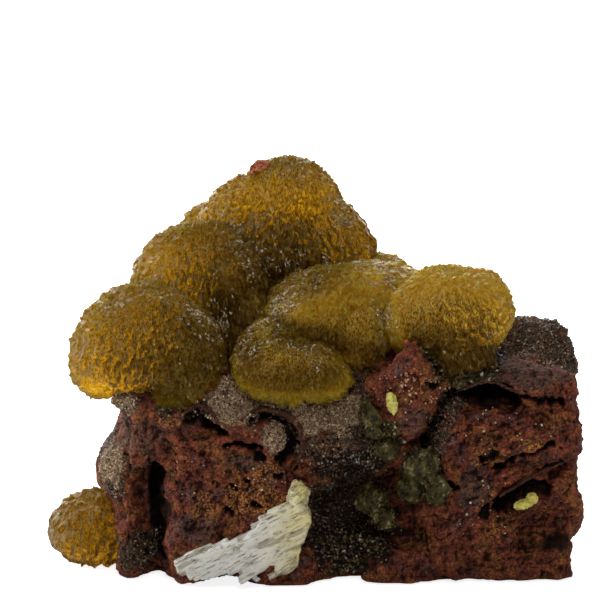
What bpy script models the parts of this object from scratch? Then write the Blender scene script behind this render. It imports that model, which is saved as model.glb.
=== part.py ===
"""Austinite specimen: sugary honey-gold domes grown on a rusty rock, with calcite and green druse.

The rock stands on a flat face at Z = 0. X runs to the right along its length, Y from front to back.
Every size below is in millimetres and is turned into metres where the meshes are finished.
"""
import math
import random

import bmesh
import bpy
from mathutils import Euler, Matrix, Vector, noise

MM = 0.001

# Clearances and mesh fineness
GAP = 0.25              # between a crystal piece and the rock it sits on
SWELLING = 1.5          # the swollen rock stands out this many gaps, as facets cut its corners
ROCK_VOXEL = 0.38       # grid that fuses the lumps of the rock
CLEARANCE_VOXEL = 0.45  # grid of the swollen rock that shapes the undersides
BASE_CUT = 3.0          # half the height of the block that cuts the rock flat at Z = 0
BASE_BLOCK = 60.0       # its length and width
MERGE = 0.002           # points nearer than this are one point
FACES = {
    "matrix": 4300,
    "austinite_domes": 4300,
    "corner_dome": 440,
    "calcite": 420,
    "green_druse_main": 220,
    "green_druse_upper": 170,
    "green_druse_low": 140,
    "yellow_grain_long": 60,
    "yellow_grain_pair": 100,
    "red_chip": 60,
}

# Roughness of the rock and of the crystal faces
ROCK_SWELL = 0.55       # height of the broad unevenness
ROCK_SWELL_LENGTH = 3.4
ROCK_GRAIN = 0.24       # height of the fine unevenness
ROCK_GRAIN_LENGTH = 1.1
DRUSE = 0.11            # how far crystal points stand in or out of a lobe
DOME_SWELL = 0.03       # uneven growth of a lobe, as a share of its radius
LARGE_LOBE = 2.8        # lobes past this radius get the finer faces
BLADE_ROUNDING = 0.14   # worn edge of a calcite blade
SWELL_PITCH = 2.2       # swells over a lobe, per radius

# A cut's flank is wider than its floor, and is only sunk into faces that look its way
CUT_FLANK = 1.6
CUT_STEEPNESS = 1.8
CUT_MIN_DEPTH_LINE = 3.5
CUT_FACING = -0.3

# Random seed of the first green lump; the next ones count on from it
DRUSE_SEED = 60

# Rounded blocks of the rock: centre, half sizes, turn in degrees, edge rounding
ROCK_BLOCKS = {
    "body": ((2.0, 0.9, 2.6), (13.0, 6.4, 4.4), (0, 0, -2), 2.8),
    "left plate": ((-4.6, -6.5, 5.0), (4.1, 1.75, 4.8), (-3, 0, -2), 0.7),
    "left column": ((-9.5, -2.8, 8.4), (1.15, 3.0, 3.4), (0, 4, 6), 0.7),
    "left bulge": ((-10.4, -3.0, 5.8), (1.6, 2.8, 1.6), (0, -10, 8), 0.9),
    "left foot": ((-9.5, -3.3, 1.5), (1.4, 3.6, 3.2), (0, 3, 5), 0.9),
    "left crust": ((-9.6, -5.0, 10.75), (1.7, 2.0, 0.55), (8, 10, 0), 0.3),
    "left shoulder": ((-6.2, -3.1, 9.0), (3.6, 3.7, 2.7), (-6, 0, 0), 1.0),
    "ledge": ((-0.6, -4.5, 8.2), (5.6, 3.3, 2.3), (16, 2, 0), 0.9),
    "ledge apron": ((-0.5, -6.9, 8.3), (4.2, 1.3, 1.1), (14, 3, 0), 0.5),
    "diamond slab": ((6.5, -7.2, 11.35), (2.2, 1.0, 2.2), (4, 45, 0), 0.35),
    "slab spike": ((6.2, -7.3, 13.45), (0.45, 0.6, 1.15), (6, 10, 0), 0.2),
    "slab root": ((6.7, -5.6, 9.3), (2.0, 1.8, 2.6), (0, 10, 0), 0.8),
    "right mass": ((11.7, -4.9, 4.9), (4.4, 2.9, 6.1), (2, 3, 6), 1.2),
    "right step": ((12.5, -5.7, 8.0), (3.6, 2.4, 1.4), (8, -12, 2), 0.6),
    "right roof": ((12.5, -4.2, 11.4), (3.6, 2.6, 0.75), (4, 4, 5), 0.4),
    "right back": ((10.8, 3.4, 5.6), (4.6, 4.2, 4.6), (0, 8, -22), 1.9),
    "front foot": ((3.2, -6.0, 0.2), (5.0, 2.1, 1.9), (0, 0, 4), 0.8),
    "back plate": ((-3.6, 6.6, 5.6), (6.0, 2.0, 4.4), (5, -6, 12), 0.9),
    "back ledge": ((4.6, 6.2, 8.4), (4.8, 2.3, 1.6), (-10, 9, -8), 0.7),
    "back foot": ((5.8, 7.4, 2.2), (4.8, 1.8, 2.8), (0, 0, -14), 0.9),
    "back slab": ((10.2, 6.4, 3.8), (3.3, 1.3, 3.4), (8, 12, -36), 0.5),
    "back shelf": ((-7.0, 6.0, 8.6), (3.0, 1.7, 0.8), (10, -8, 24), 0.4),
    "right slab": ((14.4, 1.8, 6.4), (1.7, 3.0, 1.1), (0, 14, 8), 0.4),
    "left slab": ((-10.5, 1.6, 5.2), (1.6, 2.5, 1.1), (0, -12, -14), 0.4),
}

# Rounded lumps of the rock: centre, radii
ROCK_LUMPS = {
    "left hill": ((-2.4, 2.6, 9.3), (7.4, 6.0, 6.3)),
    "right hill": ((4.8, 1.8, 8.7), (6.2, 5.4, 5.0)),
    "front hill": ((2.8, -2.8, 9.4), (5.2, 3.4, 2.9)),
    "peak root": ((-0.8, 1.6, 15.8), (3.6, 3.6, 4.5)),
    "middle root": ((-4.6, -0.5, 14.2), (3.2, 3.1, 3.3)),
    "left root": ((-7.6, -3.9, 11.0), (3.2, 3.2, 3.0)),
    "front root": ((-0.8, -4.6, 11.2), (2.2, 2.4, 1.9)),
    "centre root": ((4.2, -2.9, 12.2), (2.8, 2.5, 2.5)),
    "right root": ((8.9, -3.8, 12.9), (2.7, 2.8, 2.5)),
    "stalk": ((9.1, -3.3, 11.7), (2.9, 2.8, 2.3)),
    "drusy knob": ((13.6, 0.3, 11.3), (3.1, 3.4, 3.2)),
    "nodule": ((-1.4, -7.6, 8.7), (1.0, 0.9, 1.1)),
    "left end": ((-9.6, 2.4, 4.4), (2.8, 3.4, 4.2)),
    "small knob": ((-7.6, 4.6, 8.2), (2.6, 2.3, 2.2)),
    "rusty lump": ((8.3, -6.6, 4.3), (1.5, 1.1, 1.3)),
    "right end": ((14.6, -1.2, 3.4), (2.3, 3.4, 3.6)),
}

# Curled lips of rock: radius, Y of its line, points in the X Z plane
ROCK_LIPS = {
    "small arch": (0.30, -8.2, ((-7.2, 9.7), (-6.5, 10.1), (-5.8, 10.2),
                                (-5.2, 9.9), (-4.7, 9.4), (-4.0, 9.2))),
    "curled arch": (0.34, -8.2, ((-3.3, 9.8), (-2.2, 10.0), (-1.2, 9.8),
                                 (-0.4, 9.2), (-0.1, 8.3), (-0.4, 7.2))),
    "right arch": (0.34, -7.7, ((8.9, 11.1), (9.8, 11.5), (11.2, 11.9), (12.5, 11.6), (14.2, 11.2))),
    "ochre ridge": (0.36, -8.4, ((10.3, 7.2), (11.5, 7.6), (12.6, 8.2), (13.8, 8.8), (15.0, 9.4))),
}

# Hollows cut into the front: half width, depth, points in the X Z plane
FRONT_CUTS = {
    "left crevice": (0.62, 2.6, ((-8.8, 8.4), (-8.4, 6.8), (-8.7, 5.4), (-8.6, 3.9), (-8.2, -0.5))),
    "small hollow": (0.50, 1.5, ((-6.5, 9.35), (-5.9, 9.55), (-5.2, 9.25))),
    "curled slot": (0.42, 1.5, ((-2.3, 9.75), (-1.1, 9.45), (-0.55, 8.8), (-0.5, 7.9), (-0.75, 6.9))),
    "plate crack": (0.34, 0.9, ((-4.2, 8.35), (-3.1, 8.4), (-2.1, 8.3))),
    "right hollow": (0.50, 2.2, ((9.4, 10.95), (10.4, 11.2), (11.4, 11.3), (12.2, 10.95))),
    "slab crack": (0.40, 1.6, ((8.6, 11.3), (7.8, 10.1), (7.3, 8.8), (7.1, 7.4), (7.0, 5.8))),
    "right cleft": (0.50, 1.4, ((11.4, 4.8), (12.3, 5.4), (13.3, 6.0), (14.6, 6.6), (16.0, 7.2))),
    "ridge hollow": (0.45, 1.2, ((10.3, 6.7), (11.4, 7.0), (12.6, 7.3), (13.8, 7.5))),
    "corner hollow": (0.75, 1.5, ((13.2, 2.6), (14.2, 3.4), (15.3, 3.8))),
    "recess": (1.6, 1.7, ((2.4, 1.8), (2.6, 3.4), (3.0, 5.2))),
}

# Hollows cut into the back, in the same form
BACK_CUTS = {
    "back crevice": (0.7, 2.0, ((1.6, 0.5), (1.1, 3.0), (1.8, 5.4), (1.2, 7.8))),
    "back seam": (0.45, 1.3, ((-8.6, 5.0), (-6.4, 5.8), (-3.6, 5.4), (-1.2, 6.1))),
    "back pocket": (1.3, 1.6, ((8.2, 5.6), (10.4, 6.2))),
}

# Lobes of the drusy domes: centre, radii with the height above the widest line last, depth below it
DOMES = {
    "peak": (
        ((-1.01, 2.0, 18.42), (4.33, 4.6, 4.22), 3.4),
        ((-0.70, 1.8, 20.79), (3.22, 3.4, 3.06), 3.0),
        ((-3.02, 2.2, 19.72), (3.02, 3.3, 3.01), 2.6),
        ((0.80, 1.2, 17.84), (3.78, 3.6, 3.95), 2.8),
    ),
    "pale lobe": (((-5.20, 4.0, 18.83), (2.20, 2.4, 2.09), 1.9),),
    "middle left": (
        ((-5.68, -0.5, 16.80), (4.36, 4.0, 3.51), 3.0),
        ((-3.3, -2.2, 14.5), (2.0, 2.3, 2.3), 2.6),
    ),
    "lower left": (
        ((-8.89, -4.0, 12.72), (4.55, 4.4, 4.56), 1.85),
        ((-11.72, -4.2, 12.36), (1.72, 2.4, 2.25), 1.9),
        ((-6.85, -4.6, 11.84), (2.64, 3.0, 2.93), 2.0),
    ),
    "tongue": (((-7.54, -6.1, 10.70), (1.40, 1.3, 1.40), 1.4),),
    "upper centre": (
        ((1.97, -2.8, 14.99), (4.24, 3.5, 3.10), 2.8),
        ((4.14, -2.4, 16.12), (3.95, 2.9, 2.14), 2.55),
        ((0.20, -3.9, 14.30), (2.39, 2.7, 2.85), 2.1),
        ((3.42, -4.4, 14.19), (2.15, 2.3, 2.14), 2.1),
    ),
    "front low": (
        ((-0.58, -5.9, 12.56), (3.30, 2.9, 1.90), 2.0),
        ((-1.17, -4.9, 12.60), (2.89, 3.0, 2.75), 2.0),
        ((0.97, -5.8, 11.98), (2.18, 2.2, 1.43), 1.4),
    ),
    "back right": (((4.22, 0.7, 15.27), (3.41, 2.7, 3.02), 2.6),),
    "right": (
        ((8.57, -4.0, 15.11), (3.89, 3.75, 3.07), 2.3),
        ((10.02, -3.8, 15.87), (2.49, 2.9, 2.17), 2.1),
        ((6.25, -4.9, 15.1), (1.5, 2.2, 2.1), 1.9),
        ((9.1, -5.2, 13.1), (2.4, 2.1, 1.4), 1.3),
    ),
    "back middle": (((1.2, 5.5, 13.9), (3.1, 2.8, 2.9), 2.2),),
    "back left": (((-4.2, 5.9, 14.9), (2.9, 2.5, 2.5), 2.2),),
    "back edge": (((5.9, 5.4, 12.4), (2.2, 2.1, 2.0), 1.6),),
    "left behind": (((-9.4, 1.4, 11.3), (2.1, 2.3, 2.0), 1.6),),
}
CORNER_LOBE = ((-11.99, -2.7, 1.85), (3.1, 3.2, 2.6), 1.7)

# Calcite blades, all leaning the same way: centre, half sizes, turn in degrees about X, Y and Z
CALCITE_BLADES = (
    ((-0.05, -8.1, 5.7), (0.75, 0.65, 0.85), (0, -14, 6)),
    ((-0.75, -8.4, 4.7), (1.35, 0.65, 0.6), (-4, -40, 3)),
    ((-0.9, -8.5, 3.7), (1.7, 0.7, 0.75), (5, -33, -4)),
    ((-1.1, -8.55, 2.7), (1.9, 0.65, 0.75), (0, -29, 2)),
    ((0.1, -8.4, 3.4), (0.9, 0.6, 1.0), (0, -20, 0)),
    ((-2.6, -8.5, 2.2), (1.7, 0.6, 0.5), (4, -22, -2)),
    ((-4.6, -8.45, 1.75), (1.7, 0.55, 0.4), (3, -12, 3)),
    ((-0.9, -8.5, 1.5), (2.0, 0.6, 0.6), (-3, -15, -3)),
)

# Green druse: centre and radii of the lumps of each patch
GREEN_DRUSE = {
    "green_druse_main": (
        ((7.2, -7.9, 7.2), (1.3, 0.9, 1.1)),
        ((8.1, -8.0, 6.0), (1.0, 0.85, 1.25)),
        ((6.5, -7.3, 5.7), (0.95, 0.9, 0.95)),
    ),
    "green_druse_upper": (
        ((4.25, -7.4, 10.3), (0.8, 0.9, 1.1)),
        ((4.3, -7.2, 9.0), (0.9, 0.9, 1.0)),
        ((5.0, -7.6, 8.1), (0.8, 0.8, 0.75)),
    ),
    "green_druse_low": (
        ((4.2, -6.3, 4.7), (0.95, 0.95, 0.9)),
        ((4.9, -6.9, 3.8), (0.75, 0.8, 0.75)),
    ),
}

# Pale-yellow grains and the red flake: centre, radii, turn in degrees
YELLOW_GRAINS = {
    "yellow_grain_long": (((5.3, -8.5, 11.0), (0.33, 0.5, 0.72), (0, -11, 0)),),
    "yellow_grain_pair": (
        ((13.44, -8.2, 5.28), (0.32, 0.55, 0.32), (0, 0, 0)),
        ((12.95, -8.25, 4.95), (0.6, 0.55, 0.24), (0, -15, 0)),
    ),
}
RED_CHIP = ((-2.35, 0.7, 23.35), (0.8, 0.65, 0.45), (20, -30, 8))

COLOURS = {
    "matrix": ((0.085, 0.035, 0.022), 0.85),
    "austinite_domes": ((0.36, 0.20, 0.03), 0.35),
    "corner_dome": ((0.36, 0.20, 0.03), 0.35),
    "calcite": ((0.62, 0.57, 0.42), 0.3),
    "green_druse_main": ((0.06, 0.06, 0.03), 0.3),
    "green_druse_upper": ((0.06, 0.06, 0.03), 0.3),
    "green_druse_low": ((0.06, 0.06, 0.03), 0.3),
    "yellow_grain_long": ((0.5, 0.42, 0.13), 0.5),
    "yellow_grain_pair": ((0.5, 0.42, 0.13), 0.5),
    "red_chip": ((0.35, 0.1, 0.05), 0.6),
}


def clear_scene():
    for obj in list(bpy.data.objects):
        bpy.data.objects.remove(obj, do_unlink=True)


def collection(name):
    group = bpy.data.collections.new(name)
    bpy.context.scene.collection.children.link(group)
    return group


def add_object(name, bm, group):
    """A new object holding the bmesh, which is freed."""
    mesh = bpy.data.meshes.new(name)
    bm.to_mesh(mesh)
    bm.free()
    obj = bpy.data.objects.new(name, mesh)
    group.objects.link(obj)
    return obj


def evaluated_bmesh(obj):
    """The object's mesh with its modifiers applied."""
    bpy.context.view_layer.update()
    graph = bpy.context.evaluated_depsgraph_get()
    mesh = bpy.data.meshes.new_from_object(obj.evaluated_get(graph))
    bm = bmesh.new()
    bm.from_mesh(mesh)
    bpy.data.meshes.remove(mesh)
    return bm


def apply_modifiers(obj):
    bm = evaluated_bmesh(obj)
    obj.modifiers.clear()
    bm.to_mesh(obj.data)
    bm.free()


def placement(centre, turn):
    angles = Euler([math.radians(angle) for angle in turn])
    return Matrix.Translation(Vector(centre)) @ angles.to_matrix().to_4x4()


def append_bmesh(target, source):
    mesh = bpy.data.meshes.new("joined")
    source.to_mesh(mesh)
    source.free()
    target.from_mesh(mesh)
    bpy.data.meshes.remove(mesh)


def rounded_block(centre, half_sizes, turn, rounding, segments=2):
    bm = bmesh.new()
    bmesh.ops.create_cube(bm, size=2.0, matrix=Matrix.Diagonal((*half_sizes, 1.0)))
    bmesh.ops.bevel(bm, geom=bm.edges[:], offset=rounding, segments=segments, profile=0.5,
                    affect="EDGES", material=-1)
    bmesh.ops.transform(bm, matrix=placement(centre, turn), verts=bm.verts[:])
    return bm


def ellipsoid(centre, radii, turn=(0, 0, 0), detail=3):
    bm = bmesh.new()
    bmesh.ops.create_icosphere(bm, subdivisions=detail, radius=1.0, matrix=Matrix.Diagonal((*radii, 1.0)))
    bmesh.ops.transform(bm, matrix=placement(centre, turn), verts=bm.verts[:])
    return bm


def lip(points, radius, depth):
    """A round ridge along a curve of points, as a closed mesh."""
    curve = bpy.data.curves.new("lip", "CURVE")
    curve.dimensions = "3D"
    curve.bevel_depth = radius
    curve.bevel_resolution = 2
    curve.use_fill_caps = True
    spline = curve.splines.new("POLY")
    spline.points.add(len(points) - 1)
    for point, (x, z) in zip(spline.points, points):
        point.co = (x, depth, z, 1.0)
    obj = bpy.data.objects.new("lip", curve)
    bpy.context.scene.collection.objects.link(obj)
    bm = evaluated_bmesh(obj)
    bmesh.ops.remove_doubles(bm, verts=bm.verts[:], dist=MERGE)
    bpy.data.objects.remove(obj, do_unlink=True)
    return bm


def distance_to_line(x, z, points):
    """Distance in the X Z plane from a place to a line of points."""
    best = math.inf
    here = Vector((x, z))
    for start, end in zip(points, points[1:]):
        a = Vector(start)
        along = Vector(end) - a
        share = max(0.0, min(1.0, (here - a).dot(along) / along.length_squared))
        best = min(best, (here - a - along * share).length)
    return best


def cut_hollows(bm, cuts, side):
    """Sink the front (side -1) or back (side 1) along the lines of the cuts."""
    for vert in bm.verts:
        if vert.co.y * side < CUT_MIN_DEPTH_LINE or vert.normal.y * side < CUT_FACING:
            continue
        sink = 0.0
        for width, depth, points in cuts.values():
            nearness = 1.0 - distance_to_line(vert.co.x, vert.co.z, points) / (width * CUT_FLANK)
            if nearness > 0.0:
                sink = max(sink, depth * min(1.0, nearness * CUT_STEEPNESS))
        vert.co.y -= side * sink


def roughen(bm):
    """Push the rock's surface in and out by broad and fine unevenness."""
    bm.normal_update()
    shifts = []
    for vert in bm.verts:
        broad = noise.fractal(vert.co / ROCK_SWELL_LENGTH, 1.0, 2.0, 3)
        fine = noise.noise(vert.co / ROCK_GRAIN_LENGTH + Vector((7.0, 3.0, 11.0)))
        shifts.append(vert.normal * (broad * ROCK_SWELL + fine * ROCK_GRAIN))
    for vert, shift in zip(bm.verts, shifts):
        vert.co += shift


def add_remesh(obj, voxel):
    remesh = obj.modifiers.new("fuse", "REMESH")
    remesh.mode = "VOXEL"
    remesh.voxel_size = voxel


def simplify(obj, faces):
    """Collapse the object's mesh to about this many triangles."""
    apply_modifiers(obj)
    triangles = sum(len(poly.vertices) - 2 for poly in obj.data.polygons)
    if triangles > faces:
        decimate = obj.modifiers.new("simplify", "DECIMATE")
        decimate.ratio = faces / triangles
        apply_modifiers(obj)


def add_boolean(obj, other, operation):
    modifier = obj.modifiers.new(operation.lower(), "BOOLEAN")
    modifier.operation = operation
    modifier.solver = "EXACT"
    modifier.object = other


def keep_largest(bm):
    """Delete all but the largest connected body, and merge points that coincide."""
    bmesh.ops.remove_doubles(bm, verts=bm.verts[:], dist=MERGE)
    bmesh.ops.dissolve_degenerate(bm, dist=MERGE, edges=bm.edges[:])
    bmesh.ops.triangulate(bm, faces=bm.faces[:])
    unseen = set(bm.faces)
    bodies = []
    while unseen:
        queue = [unseen.pop()]
        body = []
        while queue:
            face = queue.pop()
            body.append(face)
            for edge in face.edges:
                for near in edge.link_faces:
                    if near in unseen:
                        unseen.discard(near)
                        queue.append(near)
        bodies.append(body)
    bodies.sort(key=len, reverse=True)
    for body in bodies[1:]:
        bmesh.ops.delete(bm, geom=body, context="FACES")
    loose = [vert for vert in bm.verts if not vert.link_faces]
    bmesh.ops.delete(bm, geom=loose, context="VERTS")


def build_rock(parts, cutters):
    """The rock, fused from its blocks, lumps and lips, and cut flat to stand on."""
    bm = bmesh.new()
    for centre, half_sizes, turn, rounding in ROCK_BLOCKS.values():
        append_bmesh(bm, rounded_block(centre, half_sizes, turn, rounding))
    for centre, radii in ROCK_LUMPS.values():
        append_bmesh(bm, ellipsoid(centre, radii))
    for radius, depth, points in ROCK_LIPS.values():
        append_bmesh(bm, lip(points, radius, depth))
    rock = add_object("matrix", bm, parts)
    add_remesh(rock, ROCK_VOXEL)
    bm = evaluated_bmesh(rock)
    rock.modifiers.clear()
    roughen(bm)
    bm.normal_update()
    cut_hollows(bm, FRONT_CUTS, -1)
    cut_hollows(bm, BACK_CUTS, 1)
    bm.to_mesh(rock.data)
    bm.free()
    add_remesh(rock, ROCK_VOXEL)
    simplify(rock, FACES["matrix"])
    below = bmesh.new()
    bmesh.ops.create_cube(below, size=2.0, matrix=Matrix.Translation((0.0, 0.0, -BASE_CUT))
                          @ Matrix.Diagonal((BASE_BLOCK / 2, BASE_BLOCK / 2, BASE_CUT, 1.0)))
    floor_cutter = add_object("floor_cutter", below, cutters)
    add_boolean(rock, floor_cutter, "DIFFERENCE")
    bm = evaluated_bmesh(rock)
    rock.modifiers.clear()
    keep_largest(bm)
    bm.to_mesh(rock.data)
    bm.free()
    return rock


def build_clearance(rock, cutters):
    """The rock swollen by the gap: it shapes the undersides of the crystal pieces."""
    bm = bmesh.new()
    bm.from_mesh(rock.data)
    bm.normal_update()
    for vert, normal in [(vert, vert.normal.copy()) for vert in bm.verts]:
        vert.co += normal * GAP * SWELLING
    clearance = add_object("clearance_cutter", bm, cutters)
    add_remesh(clearance, CLEARANCE_VOXEL)
    simplify(clearance, FACES["matrix"])
    return clearance


def druse_lobe(centre, radii, depth, seed, swell=0.0):
    """A lobe of flat crystal faces, with its own depth below its widest line."""
    rng = random.Random(seed)
    detail = 4 if max(radii) > LARGE_LOBE else 3
    bm = bmesh.new()
    bmesh.ops.create_icosphere(bm, subdivisions=detail, radius=1.0)
    drift = Vector((rng.uniform(0, 50), rng.uniform(0, 50), rng.uniform(0, 50)))
    for vert in bm.verts:
        out = vert.co.normalized()
        size = 1.0 + DOME_SWELL * noise.noise(out * SWELL_PITCH + drift)
        height = radii[2] if out.z > 0.0 else depth
        place = Vector((out.x * radii[0], out.y * radii[1], out.z * height)) * size
        vert.co = Vector(centre) + place + out * (rng.uniform(-DRUSE, DRUSE) + swell)
    return bm


def dome_lobes(name, swell=0.0):
    """The lobes of a dome; a swollen copy has the same faces, further out."""
    return [druse_lobe(*lobe, f"{name} {index}", swell) for index, lobe in enumerate(DOMES[name])]


def druse_lump(centre, radii, seed):
    """A small lump of flat crystal faces."""
    rng = random.Random(seed)
    bm = ellipsoid(centre, radii, detail=2)
    for vert in bm.verts:
        vert.co += Vector((rng.uniform(-1, 1), rng.uniform(-1, 1), rng.uniform(-1, 1))) * DRUSE
    return bm


def fuse(name, bodies, group, cutters, clearances):
    """One solid: the union of the bodies, parted by the gap from what carries it."""
    main = add_object(name, bodies[0], group)
    helpers = [add_object(f"{name}_lobe", body, cutters) for body in bodies[1:]]
    for helper in helpers:
        add_boolean(main, helper, "UNION")
    for clearance in clearances:
        add_boolean(main, clearance, "DIFFERENCE")
    bm = evaluated_bmesh(main)
    main.modifiers.clear()
    keep_largest(bm)
    bm.to_mesh(main.data)
    bm.free()
    simplify(main, FACES[name])


def build_domes(parts, cutters, clearance):
    bodies = [lobe for name in DOMES for lobe in dome_lobes(name)]
    fuse("austinite_domes", bodies, parts, cutters, [clearance])
    fuse("corner_dome", [druse_lobe(*CORNER_LOBE, "corner")], parts, cutters, [clearance])


def build_calcite(parts, cutters, clearance):
    bodies = []
    for centre, half_sizes, turn in CALCITE_BLADES:
        bodies.append(rounded_block(centre, half_sizes, turn, BLADE_ROUNDING, segments=1))
    fuse("calcite", bodies, parts, cutters, [clearance])


def build_green_druse(parts, cutters, clearance):
    seed = DRUSE_SEED
    for name, lumps in GREEN_DRUSE.items():
        bodies = []
        for centre, radii in lumps:
            seed += 1
            bodies.append(druse_lump(centre, radii, seed))
        fuse(name, bodies, parts, cutters, [clearance])


def build_grains(parts, cutters, clearance):
    for name, grains in YELLOW_GRAINS.items():
        bodies = [ellipsoid(centre, radii, turn, detail=2) for centre, radii, turn in grains]
        fuse(name, bodies, parts, cutters, [clearance])


def build_red_chip(parts, cutters):
    """A flake lying on the peak, parted from it by the gap."""
    peak = [add_object("peak_clearance", lobe, cutters) for lobe in dome_lobes("peak", swell=GAP)]
    centre, radii, turn = RED_CHIP
    fuse("red_chip", [ellipsoid(centre, radii, turn, detail=2)], parts, cutters, peak)


def finish(parts, cutters):
    """Metres, materials and shading for the parts; the cutters are kept out of sight."""
    for obj in parts.objects:
        colour, roughness = COLOURS[obj.name]
        obj.data.transform(Matrix.Scale(MM, 4))
        obj.data.shade_flat()
        material = bpy.data.materials.new(obj.name)
        material.use_nodes = True
        shader = material.node_tree.nodes["Principled BSDF"]
        shader.inputs["Base Color"].default_value = (*colour, 1.0)
        shader.inputs["Roughness"].default_value = roughness
        obj.data.materials.append(material)
    for obj in cutters.objects:
        obj.hide_render = True
        obj.display_type = "WIRE"
        obj.data.transform(Matrix.Scale(MM, 4))


def main():
    clear_scene()
    parts = collection("austinite_specimen")
    cutters = collection("cutters")
    rock = build_rock(parts, cutters)
    clearance = build_clearance(rock, cutters)
    build_domes(parts, cutters, clearance)
    build_calcite(parts, cutters, clearance)
    build_green_druse(parts, cutters, clearance)
    build_grains(parts, cutters, clearance)
    build_red_chip(parts, cutters)
    finish(parts, cutters)


main()
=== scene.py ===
"""Looks of the austinite specimen: honey-gold drusy domes on a rusty rock, with calcite and green druse.

Sizes and places below are in millimetres; a finished piece's mesh is turned into metres. X runs to the
right, Y from front to back, and the rock stands on Z = 0.
"""
import math
import random

import bmesh
import bpy
import numpy
from mathutils import Euler, Matrix, Vector, noise


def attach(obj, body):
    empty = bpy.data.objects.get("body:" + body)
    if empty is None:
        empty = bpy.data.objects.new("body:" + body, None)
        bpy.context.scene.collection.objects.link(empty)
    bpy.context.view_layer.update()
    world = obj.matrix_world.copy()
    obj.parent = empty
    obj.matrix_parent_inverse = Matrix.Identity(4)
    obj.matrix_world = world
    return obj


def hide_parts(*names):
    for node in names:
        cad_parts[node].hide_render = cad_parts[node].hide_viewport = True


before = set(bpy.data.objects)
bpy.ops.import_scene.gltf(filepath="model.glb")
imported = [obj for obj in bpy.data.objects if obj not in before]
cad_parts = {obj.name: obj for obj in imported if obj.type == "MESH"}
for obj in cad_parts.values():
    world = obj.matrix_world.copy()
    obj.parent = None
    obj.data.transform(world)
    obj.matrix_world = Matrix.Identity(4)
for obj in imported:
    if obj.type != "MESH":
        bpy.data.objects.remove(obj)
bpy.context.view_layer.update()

MM = 0.001

# Camera: the photograph looks slightly down, from far off with a long lens
CAMERA_DISTANCE = 180.0
CAMERA_TILT = math.radians(10)
CAMERA_TARGET = 15.5
CAMERA_LENS = 180.0

# Drusy domes: each is blended from lobes, given by centre, radii with the height above the widest line
# last, and depth below it. Crystals point away from the first lobe's centre.
DOMES = {
    "peak": (((-1.01, 2.0, 18.42), (4.33, 4.6, 4.22), 3.4), ((-0.70, 1.8, 20.79), (3.22, 3.4, 3.06), 3.0),
             ((-3.02, 2.2, 19.72), (3.02, 3.3, 3.01), 2.6), ((0.80, 1.2, 17.84), (3.78, 3.6, 3.95), 2.8)),
    "pale lobe": (((-5.20, 4.0, 18.83), (2.20, 2.4, 2.09), 1.9),),
    "middle left": (((-5.68, -0.5, 16.80), (4.36, 4.0, 3.51), 3.0),
                    ((-3.3, -2.2, 14.5), (2.0, 2.3, 2.3), 2.6)),
    "lower left": (((-8.89, -4.0, 12.72), (4.55, 4.4, 4.56), 1.85),
                   ((-11.72, -4.2, 12.36), (1.72, 2.4, 2.25), 1.9),
                   ((-6.85, -4.6, 11.84), (2.64, 3.0, 2.93), 2.0)),
    "tongue": (((-7.54, -6.1, 10.70), (1.40, 1.3, 1.40), 1.4),),
    "upper centre": (((1.97, -2.8, 14.99), (4.24, 3.5, 3.10), 2.8),
                     ((4.14, -2.4, 16.12), (3.95, 2.9, 2.14), 2.55),
                     ((0.20, -3.9, 14.30), (2.39, 2.7, 2.85), 2.1),
                     ((3.42, -4.4, 14.19), (2.15, 2.3, 2.14), 2.1)),
    "front low": (((-0.58, -5.9, 12.56), (3.30, 2.9, 1.90), 2.0),
                  ((-1.17, -4.9, 12.60), (2.89, 3.0, 2.75), 2.0),
                  ((0.97, -5.8, 11.98), (2.18, 2.2, 1.43), 1.4)),
    "back right": (((4.22, 0.7, 15.27), (3.41, 2.7, 3.02), 2.6),),
    "right": (((8.57, -4.0, 15.11), (3.89, 3.75, 3.07), 2.3), ((10.02, -3.8, 15.87), (2.49, 2.9, 2.17), 2.1),
              ((6.25, -4.9, 15.1), (1.5, 2.2, 2.1), 1.9), ((9.1, -5.2, 13.1), (2.4, 2.1, 1.4), 1.3)),
    "back middle": (((1.2, 5.5, 13.9), (3.1, 2.8, 2.9), 2.2), ((2.9, 5.6, 12.9), (1.8, 1.9, 1.7), 1.4)),
    "back left": (((-4.2, 5.9, 14.9), (2.9, 2.5, 2.5), 2.2), ((-5.6, 5.6, 14.0), (1.7, 1.8, 1.6), 1.4)),
    "back edge": (((5.9, 5.4, 12.4), (2.2, 2.1, 2.0), 1.6), ((4.9, 6.0, 11.6), (1.5, 1.4, 1.3), 1.0)),
    "left behind": (((-9.4, 1.4, 11.3), (2.1, 2.3, 2.0), 1.6), ((-9.9, 2.7, 10.9), (1.4, 1.4, 1.3), 1.0)),
    "corner": (((-11.99, -2.7, 1.85), (3.1, 3.2, 2.6), 1.7),),
}
LOBE_BLEND = 0.12        # how widely lobes flow together
SKIN_INSET = 0.08        # the skin lies this far inside the lobes, as crystals stand on it
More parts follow.
